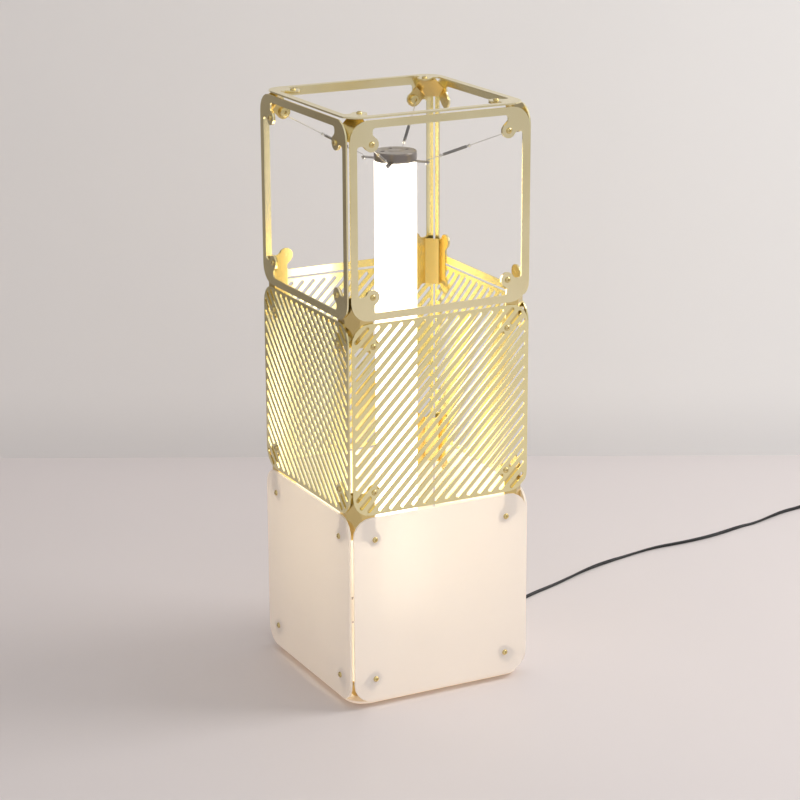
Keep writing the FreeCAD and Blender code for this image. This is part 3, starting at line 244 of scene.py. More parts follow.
def dust_and_sheen_group():
    """Mask of fine pale specks on faces that look up: a settled dusting, and where the amount is
    large, as on the caps, a painted sheen that lightens the tops.
    """
    group, given, result = new_group("settled_dust_and_sheen", {"Amount": 0.3}, ("Dust_And_Sheen",))
    normal = add(group, "ShaderNodeNewGeometry", (-900, -250)).outputs["Normal"]
    parts = add(group, "ShaderNodeSeparateXYZ", (-700, -250), {0: normal}).outputs
    rise = remap(group, parts["Z"], (-500, -250), from_min=0.5, from_max=1.0)
    specks = add(group, "ShaderNodeTexNoise", (-500, -500),
                 {"Vector": object_place(group, (-900, -500)), "Scale": 260.0,
                  "Detail": 6.0}).outputs["Fac"]
    dust_and_sheen_on_top = worked_out(group, "MULTIPLY", rise, specks, (-200, -300))
    feed(group, result, {"Dust_And_Sheen": worked_out(group, "MULTIPLY", dust_and_sheen_on_top, given["Amount"],
                                            (100, -200))})
    return group


def glow_group():
    """Mask of the painted glow on a diffuser: how near a point of it is to the light tube, which
    ends a little above the base.
    """
    group, given, result = new_group("tube_glow", {"Reach": 0.09}, ("Nearness",))
    parts = add(group, "ShaderNodeSeparateXYZ", (-700, -250),
                {0: object_place(group, (-900, -250))}).outputs
    flat = add(group, "ShaderNodeCombineXYZ", (-500, -150), {"X": parts["X"], "Y": parts["Y"]})
    away = add(group, "ShaderNodeVectorMath", (-300, -150), {0: flat.outputs[0]},
               operation="LENGTH").outputs["Value"]
    sideways = remap(group, away, (-100, -150), True, from_min=0.178, from_max=0.126, to_min=0.45)
    above = worked_out(group, "DIVIDE", parts["Z"], given["Reach"], (-500, -450))
    rise = remap(group, above, (-100, -450), True, from_min=0.0, from_max=2.6, to_min=0.12)
    feed(group, result, {"Nearness": worked_out(group, "MULTIPLY", sideways, rise, (200, -300))})
    return group


GLOW = glow_group()
BRUSHED = brushed_group()
MOULDED = mould_group()
DUST_AND_SHEEN = dust_and_sheen_group()
DUST_AND_SHEEN_TONE = (0.62, 0.58, 0.52)
BRUSHED_GRAIN, BRUSHED_DEPTH = 0.025, 0.00002
PEBBLE_DEPTH = 0.00004
ACRYLIC_GRAIN, ACRYLIC_DEPTH = 0.06, 0.00003


def new_material(name):
    material = bpy.data.materials.new(name)
    material.use_nodes = True
    tree = material.node_tree
    tree.nodes.clear()
    shader = add(tree, "ShaderNodeBsdfPrincipled", (500, 0))
    add(tree, "ShaderNodeOutputMaterial", (900, 0), {"Surface": shader.outputs[0]})
    return material, tree, shader


def from_group(tree, group, place, sockets):
    """The sockets of what a shared group gives."""
    return add(tree, "ShaderNodeGroup", place, sockets, node_tree=group).outputs


def two_tones(tree, mask, light, dark):
    return mixed(tree, mask, dark, light, (200, 200))


def between(tree, mask, low, high):
    """Value between two by a mask."""
    return remap(tree, mask, (200, 0), to_min=low, to_max=high)


def raise_skin(tree, shader, height, strength, depth):
    bump = add(tree, "ShaderNodeBump", (200, -350),
               {"Height": height, "Strength": strength, "Distance": depth})
    feed(tree, shader, {"Normal": bump.outputs["Normal"]})


def metal(name, light, dark, rough, stretch=(1, 1, 0.02), fineness=1500.0, dust_and_sheen=0.0):
    """Brushed or rolled metal in two close tones."""
    material, tree, shader = new_material(name)
    skin = from_group(tree, BRUSHED, (-400, 0), {"Stretch": stretch, "Fineness": fineness})
    colour = two_tones(tree, skin["Clouds"], light, dark)
    # pale specks on faces that look up: a dusting, and on the caps a painted sheen on the tops
    if dust_and_sheen:
        dust_and_sheen_on_top = from_group(tree, DUST_AND_SHEEN, (-400, 300), {"Amount": dust_and_sheen})["Dust_And_Sheen"]
        colour = mixed(tree, dust_and_sheen_on_top, colour, DUST_AND_SHEEN_TONE, (350, 300))
    feed(tree, shader, {"Base Color": colour, "Metallic": 1.0,
                        "Roughness": between(tree, skin["Lines"], *rough)})
    raise_skin(tree, shader, skin["Lines"], BRUSHED_GRAIN, BRUSHED_DEPTH)
    return material


def plastic(name, light, dark, rough, pebble=2500.0, grain=0.15, coat=0.0):
    """Moulded plastic or rubber with a fine skin."""
    material, tree, shader = new_material(name)
    skin = from_group(tree, MOULDED, (-400, 0), {"Pebble Size": pebble})
    feed(tree, shader, {"Base Color": two_tones(tree, skin["Patches"], light, dark),
                        "Roughness": between(tree, skin["Patches"], *rough),
                        "Coat Weight": coat})
    raise_skin(tree, shader, skin["Pebbles"], grain, PEBBLE_DEPTH)
    return material


def frosted_acrylic(name, strength):
    """Satin acrylic sheet: lets light through softly, shows what lies close behind it, and has a
    painted glow: emission stands in for the light of the tube held inside, most where it is nearest
    to the tube."""
    material, tree, shader = new_material(name)
    skin = from_group(tree, MOULDED, (-400, 0), {"Pebble Size": 3500.0, "Patch Size": 12.0})
    nearness = from_group(tree, GLOW, (-400, 500), {})["Nearness"]
    feed(tree, shader, {
        "Base Color": two_tones(tree, skin["Patches"], (0.95, 0.925, 0.895), (0.93, 0.90, 0.865)),
        "Roughness": between(tree, skin["Patches"], 0.58, 0.66),
        "IOR": 1.49, "Specular IOR Level": 0.35, "Transmission Weight": 0.28,
        # painted glow: warm emission, brighter nearer the tube
        "Emission Color": mixed(tree, nearness, (0.52, 0.35, 0.21), (1.0, 0.745, 0.455),
                                (200, 500)),
        "Emission Strength": strength})
    raise_skin(tree, shader, skin["Pebbles"], ACRYLIC_GRAIN, ACRYLIC_DEPTH)
    return material


def glowing(name, colour, edge, strength):
    """Opal plastic lit from inside, a little dimmer in soft patches between its strips."""
    material, tree, shader = new_material(name)
    skin = from_group(tree, MOULDED, (-400, 0), {"Patch Size": 14.0})
    feed(tree, shader, {"Base Color": (0.85, 0.84, 0.80, 1),
                        "Emission Color": two_tones(tree, skin["Patches"], colour, edge),
                        "Emission Strength": strength,
                        "Roughness": between(tree, skin["Patches"], 0.28, 0.36)})
    return material


def make_finishes():
    """Every finish of the lamp, by its slot in the record."""
    black_light, black_dark = (0.022, 0.022, 0.023), (0.012, 0.012, 0.013)
    even = (1, 1, 1)
    return {
        "frame_brass": metal("satin_brass_frames", (0.94, 0.865, 0.57), (0.83, 0.735, 0.42),
                             (0.19, 0.27), dust_and_sheen=0.12),
        "slotted_brass": metal("satin_brass_slotted", (0.89, 0.81, 0.47), (0.84, 0.75, 0.41),
                               (0.19, 0.28)),
        # the hub brass is darker than the sheet brass: partly its own tone, partly painted shade
        # for the hubs lying in the slots' recesses
        "hub_brass": metal("bent_brass_hubs", (0.77, 0.61, 0.27), (0.66, 0.50, 0.20),
                           (0.15, 0.24), (0.05, 0.05, 1)),
        "screw_brass": metal("turned_brass_screws", (0.74, 0.61, 0.30), (0.66, 0.53, 0.24),
                             (0.18, 0.30), even, 1600.0),
        "anchor_brass": metal("turned_brass_anchors", (0.78, 0.67, 0.35), (0.70, 0.58, 0.28),
                              (0.18, 0.30), (0.05, 1, 0.05), 1600.0),
        # the acrylic sheets' emission is a painted glow; the base's is stronger and lights the
        # floor below it
        "frosted_acrylic": frosted_acrylic("frosted_acrylic_sides", 0.155),
        "base_acrylic": frosted_acrylic("frosted_acrylic_base", 0.26),
        "spring_steel": metal("drawn_spring_steel", (0.34, 0.33, 0.32), (0.24, 0.235, 0.23),
                              (0.24, 0.36), even, 2400.0),
        "wire_steel": metal("stranded_steel_wire", (0.66, 0.65, 0.63), (0.52, 0.51, 0.49),
                            (0.26, 0.40), even, 3200.0),
        # the caps' tops get a painted sheen: the large amount of pale specks lightens them
        "cap_metal": metal("dark_turned_caps", (0.30, 0.275, 0.255), (0.24, 0.215, 0.20),
                           (0.26, 0.42), (1, 0.06, 0.4), 1200.0, dust_and_sheen=0.95),
        "hook_steel": metal("stamped_hook_plates", (0.46, 0.44, 0.42), (0.36, 0.34, 0.32),
                            (0.24, 0.38), (1, 0.08, 1)),
        "cap_screw_steel": metal("dark_cap_screws", (0.18, 0.17, 0.16), (0.12, 0.11, 0.105),
                                 (0.24, 0.38), even, 1800.0),
        "tube_diffuser": glowing("opal_light_tube", (1.0, 0.93, 0.76), (1.0, 0.90, 0.70), 4.3),
        "core_aluminium": metal("extruded_core", (0.72, 0.72, 0.72), (0.62, 0.62, 0.62),
                                (0.26, 0.40)),
        "led_strip": plastic("strip_board", (0.86, 0.84, 0.72), (0.78, 0.76, 0.62),
                             (0.40, 0.55)),
        "driver_case": plastic("driver_case", (0.72, 0.72, 0.70), (0.62, 0.62, 0.60),
                               (0.42, 0.58)),
        "foot_rubber": plastic("milky_rubber_feet", (0.60, 0.58, 0.54), (0.50, 0.48, 0.45),
                               (0.55, 0.75), pebble=1800.0, grain=0.3),
        "cord_sheath": plastic("black_cord_sheath", (0.013, 0.013, 0.014),
                               (0.008, 0.008, 0.009), (0.42, 0.56), pebble=4000.0, grain=0.08),
        "bush_plastic": plastic("black_bush", black_light, black_dark, (0.40, 0.56)),
        "switch_plastic": plastic("black_switch_case", black_light, black_dark, (0.38, 0.52),
                                  pebble=1500.0, grain=0.3),
        "rocker_plastic": plastic("black_rocker", (0.030, 0.030, 0.031), (0.020, 0.020, 0.021),
                                  (0.22, 0.34), coat=0.2),
        "plug_plastic": plastic("black_plug", black_light, black_dark, (0.36, 0.50),
                                pebble=1500.0, grain=0.25),
        "pin_metal": metal("plated_pins", (0.76, 0.74, 0.70), (0.66, 0.64, 0.60), (0.14, 0.26),
                           (0.05, 1, 1), 1800.0),
        "tie_plastic": plastic("grey_tie_band", (0.055, 0.055, 0.057), (0.035, 0.035, 0.037),
                               (0.50, 0.68), pebble=900.0, grain=0.4),
    }


# ---- mesh helpers ---------------------------------------------------------------

def to_mesh(name, form):
    bmesh.ops.recalc_face_normals(form, faces=form.faces)
    mesh = bpy.data.meshes.new(name)
    form.to_mesh(mesh)
    form.free()
    return mesh


def new_piece(name, form, slot, body="lamp"):
    """A smooth shaded piece made of a form, in its finish, on its body if it has one."""
    mesh = to_mesh(name, form)
    for face in mesh.polygons:
        face.use_smooth = True
    mesh.set_sharp_from_angle(angle=SHARP_EDGE)
    mesh.materials.append(FINISHES[slot])
    piece = new_object(name, mesh)
    if body:
        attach(piece, body)
    return piece


def skin_rings(form, rings, closed_path=False):
    """Quads between neighbouring rings of points, with a face over each end of an open path."""
    loops = [[form.verts.new(point) for point in ring] for ring in rings]
    pairs = list(zip(loops, loops[1:]))
    if closed_path:
        pairs.append((loops[-1], loops[0]))
    for near, far in pairs:
        count = len(near)
        for i in range(count):
            j = (i + 1) % count
            form.faces.new((near[i], near[j], far[j], far[i]))
    if not closed_path:
        form.faces.new(loops[0][::-1])
        form.faces.new(loops[-1])


def facing(direction):
    """Turn that brings +Z to the direction."""
    return Vector(direction).to_track_quat("Z", "Y").to_matrix().to_4x4()


def circle(radius, height, sides):
    """Points round the Z axis."""
    return [Vector((radius * math.cos(math.tau * i / sides),
                    radius * math.sin(math.tau * i / sides), height)) for i in range(sides)]


def hexagon(radius, height, sides):
    """Points round the Z axis on a hexagon, whose corners are at the radius."""
    ring = []
    for i in range(sides):
        angle = math.tau * i / sides
        reach = radius * math.cos(math.pi / 6) / math.cos(angle % (math.pi / 3) - math.pi / 6)
        ring.append(Vector((reach * math.cos(angle), reach * math.sin(angle), height)))
    return ring


def skin_about_z(form, rings, place, closed_path=False):
    """Skin of rings round the Z axis, brought to its place."""
    skin_rings(form, [[place @ point for point in ring] for ring in rings], closed_path)


def lathe(form, profile, base, direction, sides, closed=True):
    """A turned shape about the direction from base: profile is (radius, height) in order."""
    skin_about_z(form, [circle(radius, height, sides) for radius, height in profile],
                 Matrix.Translation(base) @ facing(direction), closed)


def rounded_profile(points, radius):
    """Profile of points (radius, height, round), where corners marked True are cut round."""
    steps = 3
    result = []
    for i, (r, h, round_it) in enumerate(points):
        here = Vector((r, h))
        if not round_it:
            result.append((r, h))
            continue
        before = Vector(points[i - 1][:2])
        after = Vector(points[(i + 1) % len(points)][:2])
        start = here + (before - here).normalized() * radius
        end = here + (after - here).normalized() * radius
        for k in range(steps + 1):
            t = k / steps
            spot = start * (1 - t) ** 2 + here * 2 * t * (1 - t) + end * t ** 2
            result.append((spot.x, spot.y))
    return result


def route_points(points, resolution):
    """Points read from the smooth spline whose control points these are."""
    curve = bpy.data.curves.new("route", "CURVE")
    curve.dimensions = "3D"
    curve.resolution_u = resolution
    spline = curve.splines.new("NURBS")
    spline.points.add(len(points) - 1)
    for spot, place in zip(spline.points, points):
        spot.co = (*place, 1)
    spline.order_u = 3
    spline.use_endpoint_u = True
    carrier = bpy.data.objects.new("route", curve)
    mesh = bpy.data.meshes.new_from_object(carrier)
    found = [vertex.co.copy() for vertex in mesh.vertices]
    bpy.data.meshes.remove(mesh)
    bpy.data.objects.remove(carrier)
    bpy.data.curves.remove(curve)
    return found


def directions(path):
    """Unit directions along a path."""
    ahead = []
    for i in range(len(path)):
        a, b = path[max(i - 1, 0)], path[min(i + 1, len(path) - 1)]
        ahead.append((b - a).normalized())
    return ahead


def wire_mesh(form, path, radius, sides):
    """Round wire along a path, with a frame that doesn't twist."""
    ahead = directions(path)
    across = ahead[0].orthogonal().normalized()
    rings = []
    for spot, way in zip(path, ahead):
        across = (across - way * across.dot(way)).normalized()
        other = way.cross(across)
        rings.append([spot + (across * math.cos(math.tau * i / sides)
                              + other * math.sin(math.tau * i / sides)) * radius
                      for i in range(sides)])
    skin_rings(form, rings)


# ---- cords ----------------------------------------------------------------------

CORD_WIDTH = 0.005
CORD_THICK = 0.0036
CORD_OFF_FLOOR = 0.0001
CORD_SIDES = 20
LEAD_R = 0.0022

RUN_ROUTE = [(0.1265, 0.060, 0.034), (0.172, 0.060, 0.034),
             (0.220, 0.085, 0.0025), (0.268, 0.113, 0.0025), (0.328, 0.134, 0.0025),
             (0.3805, 0.156, 0.0025), (0.4276, 0.172, 0.0025), (0.482, 0.1855, 0.0025),
             (0.535, 0.194, 0.0025), (0.582, 0.192, 0.0025), (0.628, 0.194, 0.0025),
             (0.668, 0.2015, 0.0025), (0.703, 0.211, 0.0025), (0.733, 0.2145, 0.0025),
             (0.7695, 0.2256, 0.0025), (0.804, 0.236, 0.0025), (0.837, 0.2403, 0.0025),
             (0.8585, 0.241, 0.0075), (0.878, 0.241, 0.0075)]
LEAD_ROUTE = [(0.002, -0.001, 0.0735), (0.002, -0.001, 0.050), (0.0165, 0.0095, 0.034),
              (0.049, 0.037, 0.0355), (0.085, 0.060, 0.034), (0.1265, 0.060, 0.034)]
COIL_BEGIN = Vector((0.928, 0.241, 0.0075))
COIL_AT = Vector((0.982, 0.205, 0))
COIL_OUT_R = 0.036
COIL_PITCH = 0.0055
COIL_TURNS = 5.5
COIL_Z = 0.0038
COIL_STEPS = 16
PLUG_AT = Vector((0.950, 0.166, 0.0068))
PLUG_FACE = PLUG_AT - Vector((0.042, 0, 0))


def coil_route():
    """Straight out of the switch, five and a half flat turns in two layers, and to the plug."""
    half_way = COIL_TURNS / 2
    points = [COIL_BEGIN, COIL_BEGIN + Vector((0.011, 0, 0)),
              COIL_BEGIN + Vector((0.028, 0.0008, -0.0018))]
    for i in range(int(COIL_TURNS * COIL_STEPS) + 1):
        t = i / COIL_STEPS
        radius = COIL_OUT_R - COIL_PITCH * (t if t < half_way else COIL_TURNS - t)
        climb = min(max((t - half_way + 0.25) / 0.5, 0), 1)
        angle = math.pi / 2 - math.tau * t
        points.append(COIL_AT + Vector((radius * math.cos(angle), radius * math.sin(angle),
                                        COIL_Z + COIL_PITCH * climb)))
    points += [PLUG_AT + Vector((0.022, 0.0006, 0.0016)), PLUG_AT + Vector((0.010, 0, 0.0002)),
               PLUG_AT]
    return points


def twin_section():
    """Outline of a flat twin cord across its run: two round cores with a groove between."""
    points = []
    for i in range(CORD_SIDES):
        angle = math.tau * i / CORD_SIDES
        wide = CORD_WIDTH / 2 * math.cos(angle)
        waist = 1 - 0.42 * max(0, 1 - abs(wide) / (0.24 * CORD_WIDTH)) ** 1.5
        points.append((wide, CORD_THICK / 2 * math.sin(angle) * waist))
    return points


def twin_cord(name, path, turn_at, on_floor):
    """Flat twin cord along a path. turn_at gives its turn about its own run at a distance.

    Where on_floor, it lies with its lowest line on the floor, however it is turned."""
    outline = twin_section()
    form = bmesh.new()
    rings, spots, distance = [], [], 0
    for i, (spot, way) in enumerate(zip(path, directions(path))):
        if i:
            distance += (spot - path[i - 1]).length
        angle = turn_at(distance)
        side = way.cross(UP).normalized()
        up = side.cross(way)
        across = side * math.cos(angle) + up * math.sin(angle)
        other = up * math.cos(angle) - side * math.sin(angle)
        ring = [across * a + other * b for a, b in outline]
        centre = spot.copy()
        if on_floor:
            low = -min(point.z for point in ring)
            settle = min(max((0.010 - spot.z) / 0.006, 0), 1)
            centre.z += (low + CORD_OFF_FLOOR - CORD_WIDTH / 2) * settle
        rings.append([centre + point for point in ring])
        spots.append(centre)
    skin_rings(form, rings)
    return new_piece(name, form, "cord_sheath"), spots


def run_turn(distance):
    """The flat cord rolls over now and then on its way."""
    return 0.25 + math.pi * distance / 0.21 + 0.5 * math.sin(distance * 19)


def upright(distance):
    """Wound flat cord stands on edge."""
    return math.pi / 2


def make_cords():
    """The cord's two lengths and the lead inside, each with its middle line."""
    run, run_path = twin_cord("cord_run", route_points(RUN_ROUTE, 14), run_turn, True)
    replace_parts(run, "cord")
    coil, coil_path = twin_cord("cord_coil", route_points(coil_route(), 4), upright, False)
    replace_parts(coil, "cord")
    lead_path = route_points(LEAD_ROUTE, 14)
    form = bmesh.new()
    wire_mesh(form, lead_path, LEAD_R, 12)
    lead = new_piece("inner_lead_tube", form, "cord_sheath", None)
    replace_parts(lead, "inner_lead")
    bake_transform(lead)
    return (run, run_path), (coil, coil_path), (lead, lead_path)


# ---- screws, anchors, feet ------------------------------------------------------

def socket_screw(form, seat, direction, shank):
    """Button head screw: domed head with a hexagon socket, and its shank through the sheet."""
    sides = 24
    rings = [circle(radius, height, sides) for radius, height in (
        (SCREW_R, -shank), (SCREW_R, 0), (SCREW_HEAD_R * 0.97, 0), (SCREW_HEAD_R, 0.0003),
        (SCREW_HEAD_R * 0.96, 0.0009), (SCREW_HEAD_R * 0.85, 0.0015),
        (SCREW_HEAD_R * 0.68, 0.0020), (SCREW_HEAD_R * 0.52, SCREW_HEAD_H))]
    rings += [hexagon(SOCKET_R * grow, height, sides) for grow, height in (
        (1.12, SCREW_HEAD_H), (1.0, SCREW_HEAD_H - 0.00015), (1.0, SCREW_HEAD_H - SOCKET_DEEP))]
    skin_about_z(form, rings, Matrix.Translation(seat) @ facing(direction))


def side_screws(form, sheet, side, height, anchored):
    """Four screws on a side. Above (1) or below (-1) its middle, anchored ones are longer."""
    right, normal = SIDES[side]
    for x, y in SCREW_SPOTS:
        reach = ANCHOR_SCREW_REACH if y * anchored > 0 else SCREW_REACH
        seat = normal * (CORE_HALF + sheet) + right * x + UP * (height + y)
        socket_screw(form, seat, normal, sheet + reach)


def make_screws():
    low, middle, high = CUBE_MIDDLES
    forms = {name: bmesh.new() for name in
             ("upper_frame_screws", "slotted_panel_screws", "diffuser_screws", "foot_screws")}
    for side in SIDES:
        anchored = 1 if side in ("front_right", "back_left") else 0
        side_screws(forms["upper_frame_screws"], BRASS_SHEET, side, high, anchored)
        side_screws(forms["slotted_panel_screws"], BRASS_SHEET, side, middle, 0)
        side_screws(forms["diffuser_screws"], ACRYLIC_SHEET, side, low, -anchored)
    for x, y in SCREW_SPOTS:
        socket_screw(forms["upper_frame_screws"], Vector((x, y, TOP_Z + BRASS_SHEET)), UP,
                     BRASS_SHEET + SCREW_REACH)
        socket_screw(forms["foot_screws"], Vector((x, y, FOOT_HEIGHT - FOOT_CLAMP)), -UP,
                     ACRYLIC_SHEET + FOOT_CLAMP + SCREW_REACH)
    for node, form in forms.items():
        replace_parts(new_piece(node.replace("screws", "socket_screws"), form, "screw_brass"), node)


def anchor_seats(end):
    """Where each anchor sits at the upper (1) or lower (-1) end, and which way it points."""
    height = CUBE_MIDDLES[-1] + SCREW_AT if end > 0 else CUBE_MIDDLES[0] - SCREW_AT
    return [(Vector((sx * SCREW_AT, sy * HUB_INNER, height)), Vector((0, -sy, 0)))
            for sx, sy in ANCHOR_CORNERS.values()]


def make_anchors():
    """Turned knobs that hold the wires, each with a rounded rim and a fine groove."""
    bore, outer, groove = 0.0023, 0.0064, 0.0061
    profile = rounded_profile(
        [(bore, 0, False), (outer, 0, True), (outer, 0.0019, False), (groove, 0.00215, False),
         (groove, 0.0025, False), (outer, 0.00275, False), (outer, ANCHOR_LENGTH, True),
         (bore, ANCHOR_LENGTH, False)], 0.0006)
    form = bmesh.new()
    for end in (1, -1):
        for seat, normal in anchor_seats(end):
            lathe(form, profile, seat, normal, 40)
    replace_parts(new_piece("turned_anchors", form, "anchor_brass"), "wire_anchors")


def make_feet():
    """Rubber feet, hollow below, round their screws."""
    bore, floor = 0.00225, 0.0028
    profile = rounded_profile(
        [(bore, FOOT_HEIGHT, False), (0.009, FOOT_HEIGHT, False), (0.0086, 0.0022, False),
         (0.0078, 0, True), (0.0046, 0, True), (0.0046, floor, False), (bore, floor, False)],
        0.0007)
    form = bmesh.new()
    for x, y in SCREW_SPOTS:
        lathe(form, profile, Vector((x, y, 0)), UP, 40)
    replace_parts(new_piece("rubber_feet", form, "foot_rubber"), "feet")


# ---- wires and springs ----------------------------------------------------------

# One wire in its own upright plane, where X goes outwards from the tube's axis. It bends over
# the hook arm about the bend's middle, leaves at the tangent point and reaches to its anchor.
WireLine = namedtuple("WireLine", "azimuth slope bend tangent reach")


def wire_lines():
    """The line of each upper wire, by the corner that it goes to."""
    lines = {}
    for corner, (seat, normal) in zip(ANCHOR_CORNERS, anchor_seats(1)):
        spot = seat + normal * ANCHOR_LENGTH - UP * WIRE_BELOW_SCREW - TUBE_AXIS
        out = math.hypot(spot.x, spot.y)
        bend = (HOOK_HOLE_AT + WIRE_BEND_R, HOOK_TOP + WIRE_BEND_RISE)
        dx, dz = out - bend[0], spot.z - bend[1]
        slope = math.atan2(dz, dx) - math.asin(WIRE_BEND_R / math.hypot(dx, dz))
        tangent = (bend[0] + WIRE_BEND_R * math.cos(slope + math.pi / 2),
                   bend[1] + WIRE_BEND_R * math.sin(slope + math.pi / 2))
        reach = (out - tangent[0]) / math.cos(slope)
        lines[corner] = WireLine(math.atan2(spot.y, spot.x), slope, bend, tangent, reach)
    return lines


def wire_space(line, end):
    """From a wire's own plane to its place, at the upper (1) or lower (-1) end of the tube."""
    place = Matrix.Translation(TUBE_AXIS) @ Matrix.Rotation(line.azimuth, 4, "Z")
    return place if end > 0 else MIRROR @ place


def along(line, distance):
    """Point of a wire at a distance past its tangent point."""
    return Vector((line.tangent[0] + math.cos(line.slope) * distance, 0,
                   line.tangent[1] + math.sin(line.slope) * distance))


def spring_path(line):
    """Close wound spring whose ends turn in to the middle, into the two ferrules."""
    way = Vector((math.cos(line.slope), 0, math.sin(line.slope)))
    side, up = Vector((0, 1, 0)), Vector((-math.sin(line.slope), 0, math.cos(line.slope)))
    begin = along(line, SPRING_START)
    per_turn, tail = 12, 6
    steps = SPRING_TURNS * per_turn
    path = []
    for i in range(-tail, steps + tail + 1):
        t = i / per_turn
        inside = max(-i, i - steps, 0) / tail
        radius = SPRING_R * (1 - 0.75 * inside ** 1.4)
        share = min(max(t / SPRING_TURNS, 0), 1)
        lead = SPRING_END + (SPRING_LENGTH - 2 * SPRING_END) * share
        if i < 0:
            lead += i / tail * SPRING_TAIL
        if i > steps:
            lead += (i - steps) / tail * SPRING_TAIL
        path.append(begin + way * lead + (side * math.cos(math.tau * t)
                                          + up * math.sin(math.tau * t)) * radius)
    return path


def ferrule(form, base, way):
    """Crimped sleeve with rounded rims and a pinched waist."""
    r, length = FERRULE_R, FERRULE_L
    lathe(form, [(WIRE_R * 0.8, 0), (r * 0.86, 0), (r, 0.0003), (r * 0.9, length * 0.45),
                 (r * 0.9, length * 0.55), (r, length - 0.0003), (r * 0.86, length),
                 (WIRE_R * 0.8, length)], base, way, 20)


def spring_form(line):
    form = bmesh.new()
    wire_mesh(form, spring_path(line), SPRING_WIRE_R, 6)
    return form


def wire_form(line):
    """The wire on both sides of its spring, with its hook, ferrules and crimped end."""
    form = bmesh.new()
    hook = Vector((HOOK_HOLE_AT, 0, HOOK_TOP - HOOK_PLATE - 0.0003))
    bend = []
    for k in range(9):
        angle = math.pi + (line.slope - math.pi / 2) * k / 8
        bend.append(Vector((line.bend[0] + WIRE_BEND_R * math.cos(angle), 0,
                            line.bend[1] + WIRE_BEND_R * math.sin(angle))))
    spring_end = SPRING_START + SPRING_LENGTH
    wire_mesh(form, [hook, hook + UP * 0.001] + bend + [along(line, SPRING_START - 0.001)],
              WIRE_R, 8)
    wire_mesh(form, [along(line, distance) for distance in
                     (spring_end + 0.001, line.reach - 0.01, line.reach)], WIRE_R, 8)
    way = Vector((math.cos(line.slope), 0, math.sin(line.slope)))
    ferrule(form, along(line, SPRING_START - FERRULE_L), way)
    ferrule(form, along(line, spring_end), way)
    ferrule(form, hook - UP * 0.002, UP)
    return form


def make_lines():
    """Springs and wires at both ends of the tube."""
    for end, level in ((1, "upper"), (-1, "lower")):
        for corner, line in wire_lines().items():
            space = wire_space(line, end)
            for form, kind, slot in ((spring_form(line), "spring", "spring_steel"),
                                     (wire_form(line), "wire", "wire_steel")):
                bmesh.ops.transform(form, matrix=space, verts=form.verts)
                piece = new_piece(f"{level}_{kind}_{corner}", form, slot, None)
                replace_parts(piece, f"{level}_{kind}s")
                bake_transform(piece)


# ---- light tube -----------------------------------------------------------------

def cut_out(form, tools):
    """The form with each tool cut away from it."""
    body = new_object("being_cut", to_mesh("being_cut", form))
    cutters = [new_object("cutter", to_mesh("cutter", tool)) for tool in tools]
    for cutter in cutters:
        step = body.modifiers.new("cut", "BOOLEAN")
        step.operation, step.object, step.solver = "DIFFERENCE", cutter, "EXACT"
    bpy.context.view_layer.update()
    result = bmesh.new()
    result.from_object(body, bpy.context.evaluated_depsgraph_get())
    for carrier in [body] + cutters:
        used = carrier.data
        bpy.data.objects.remove(carrier)
        bpy.data.meshes.remove(used)
    return result


def cap_hole_spots():
    return [TUBE_AXIS + Vector((CAP_HOLE_AT * math.cos(math.radians(angle)),
                                CAP_HOLE_AT * math.sin(math.radians(angle)), 0))
            for angle in CAP_HOLE_ANGLES]


def cap_form():
    """Turned cap: a narrower rim, a faint turned groove, and three sunk screw holes."""
    top = HOOK_TOP + CAP_H
    profile = [(0.0222, HOOK_TOP - 0.0056), (0.0222, HOOK_TOP - 0.001), (0.0240, HOOK_TOP),
               (CAP_R - 0.0003, HOOK_TOP), (CAP_R, HOOK_TOP + 0.0003), (CAP_R, top - 0.0013),
               (CAP_R - 0.0003, top - 0.0010), (CAP_R - 0.0005, top - 0.0010),
               (CAP_R - 0.0005, top - 0.0003), (CAP_R - 0.0008, top), (0.0115, top),
               (0.0112, top - 0.0002), (0.0106, top - 0.0002), (0.0103, top)]
    form = bmesh.new()
    lathe(form, profile, TUBE_AXIS, UP, 96, closed=False)
    bmesh.ops.remove_doubles(form, verts=form.verts, dist=1e-6)
    bore, floor, rim = 0.0015, HOOK_TOP + CAP_FLOOR, CAP_HOLE_R + 0.0006
    tools = []
    for spot in cap_hole_spots():
        hole = bmesh.new()
        lathe(hole, [(bore, HOOK_TOP - 0.01), (bore, floor), (CAP_HOLE_R, floor),
                     (CAP_HOLE_R, top - 0.0004), (rim, top + 0.0002), (rim, top + 0.002)],
              spot, UP, 40, closed=False)
        tools.append(hole)
    return cut_out(form, tools)


def cap_screw(form, place):
    """Socket head screw down in the cap."""
    sides, shank, r, h = 24, 0.0014, CAP_SCREW_R, CAP_SCREW_H
    rings = [circle(radius, height, sides) for radius, height in (
        (shank, -0.008), (shank, 0), (r, 0), (r, h - 0.0004), (r - 0.0003, h))]
    rings += [hexagon(0.0014, height, sides) for height in (h, h - 0.0016)]
    skin_about_z(form, rings, place)


def make_tube():
    """Opal tube, its upper cap, and the screws of both caps."""
    low, high = TUBE_ENDS
    tube = bmesh.new()
    lathe(tube, rounded_profile([(TUBE_R - 0.002, low, False), (TUBE_R, low, True),
                                 (TUBE_R, high, True), (TUBE_R - 0.002, high, False)], 0.0004),
          TUBE_AXIS, UP, 96)
    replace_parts(new_piece("opal_tube", tube, "tube_diffuser", "light"), "light_tube")
    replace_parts(new_piece("upper_turned_cap", cap_form(), "cap_metal", "light"), "upper_cap")
    screws = bmesh.new()
    for spot in cap_hole_spots():
        place = Matrix.Translation(spot + UP * (HOOK_TOP + CAP_FLOOR))
        cap_screw(screws, place)
        cap_screw(screws, MIRROR @ place)
    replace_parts(new_piece("sunk_cap_screws", screws, "cap_screw_steel", "light"), "cap_screws")


# ---- outlet bush and plug -------------------------------------------------------

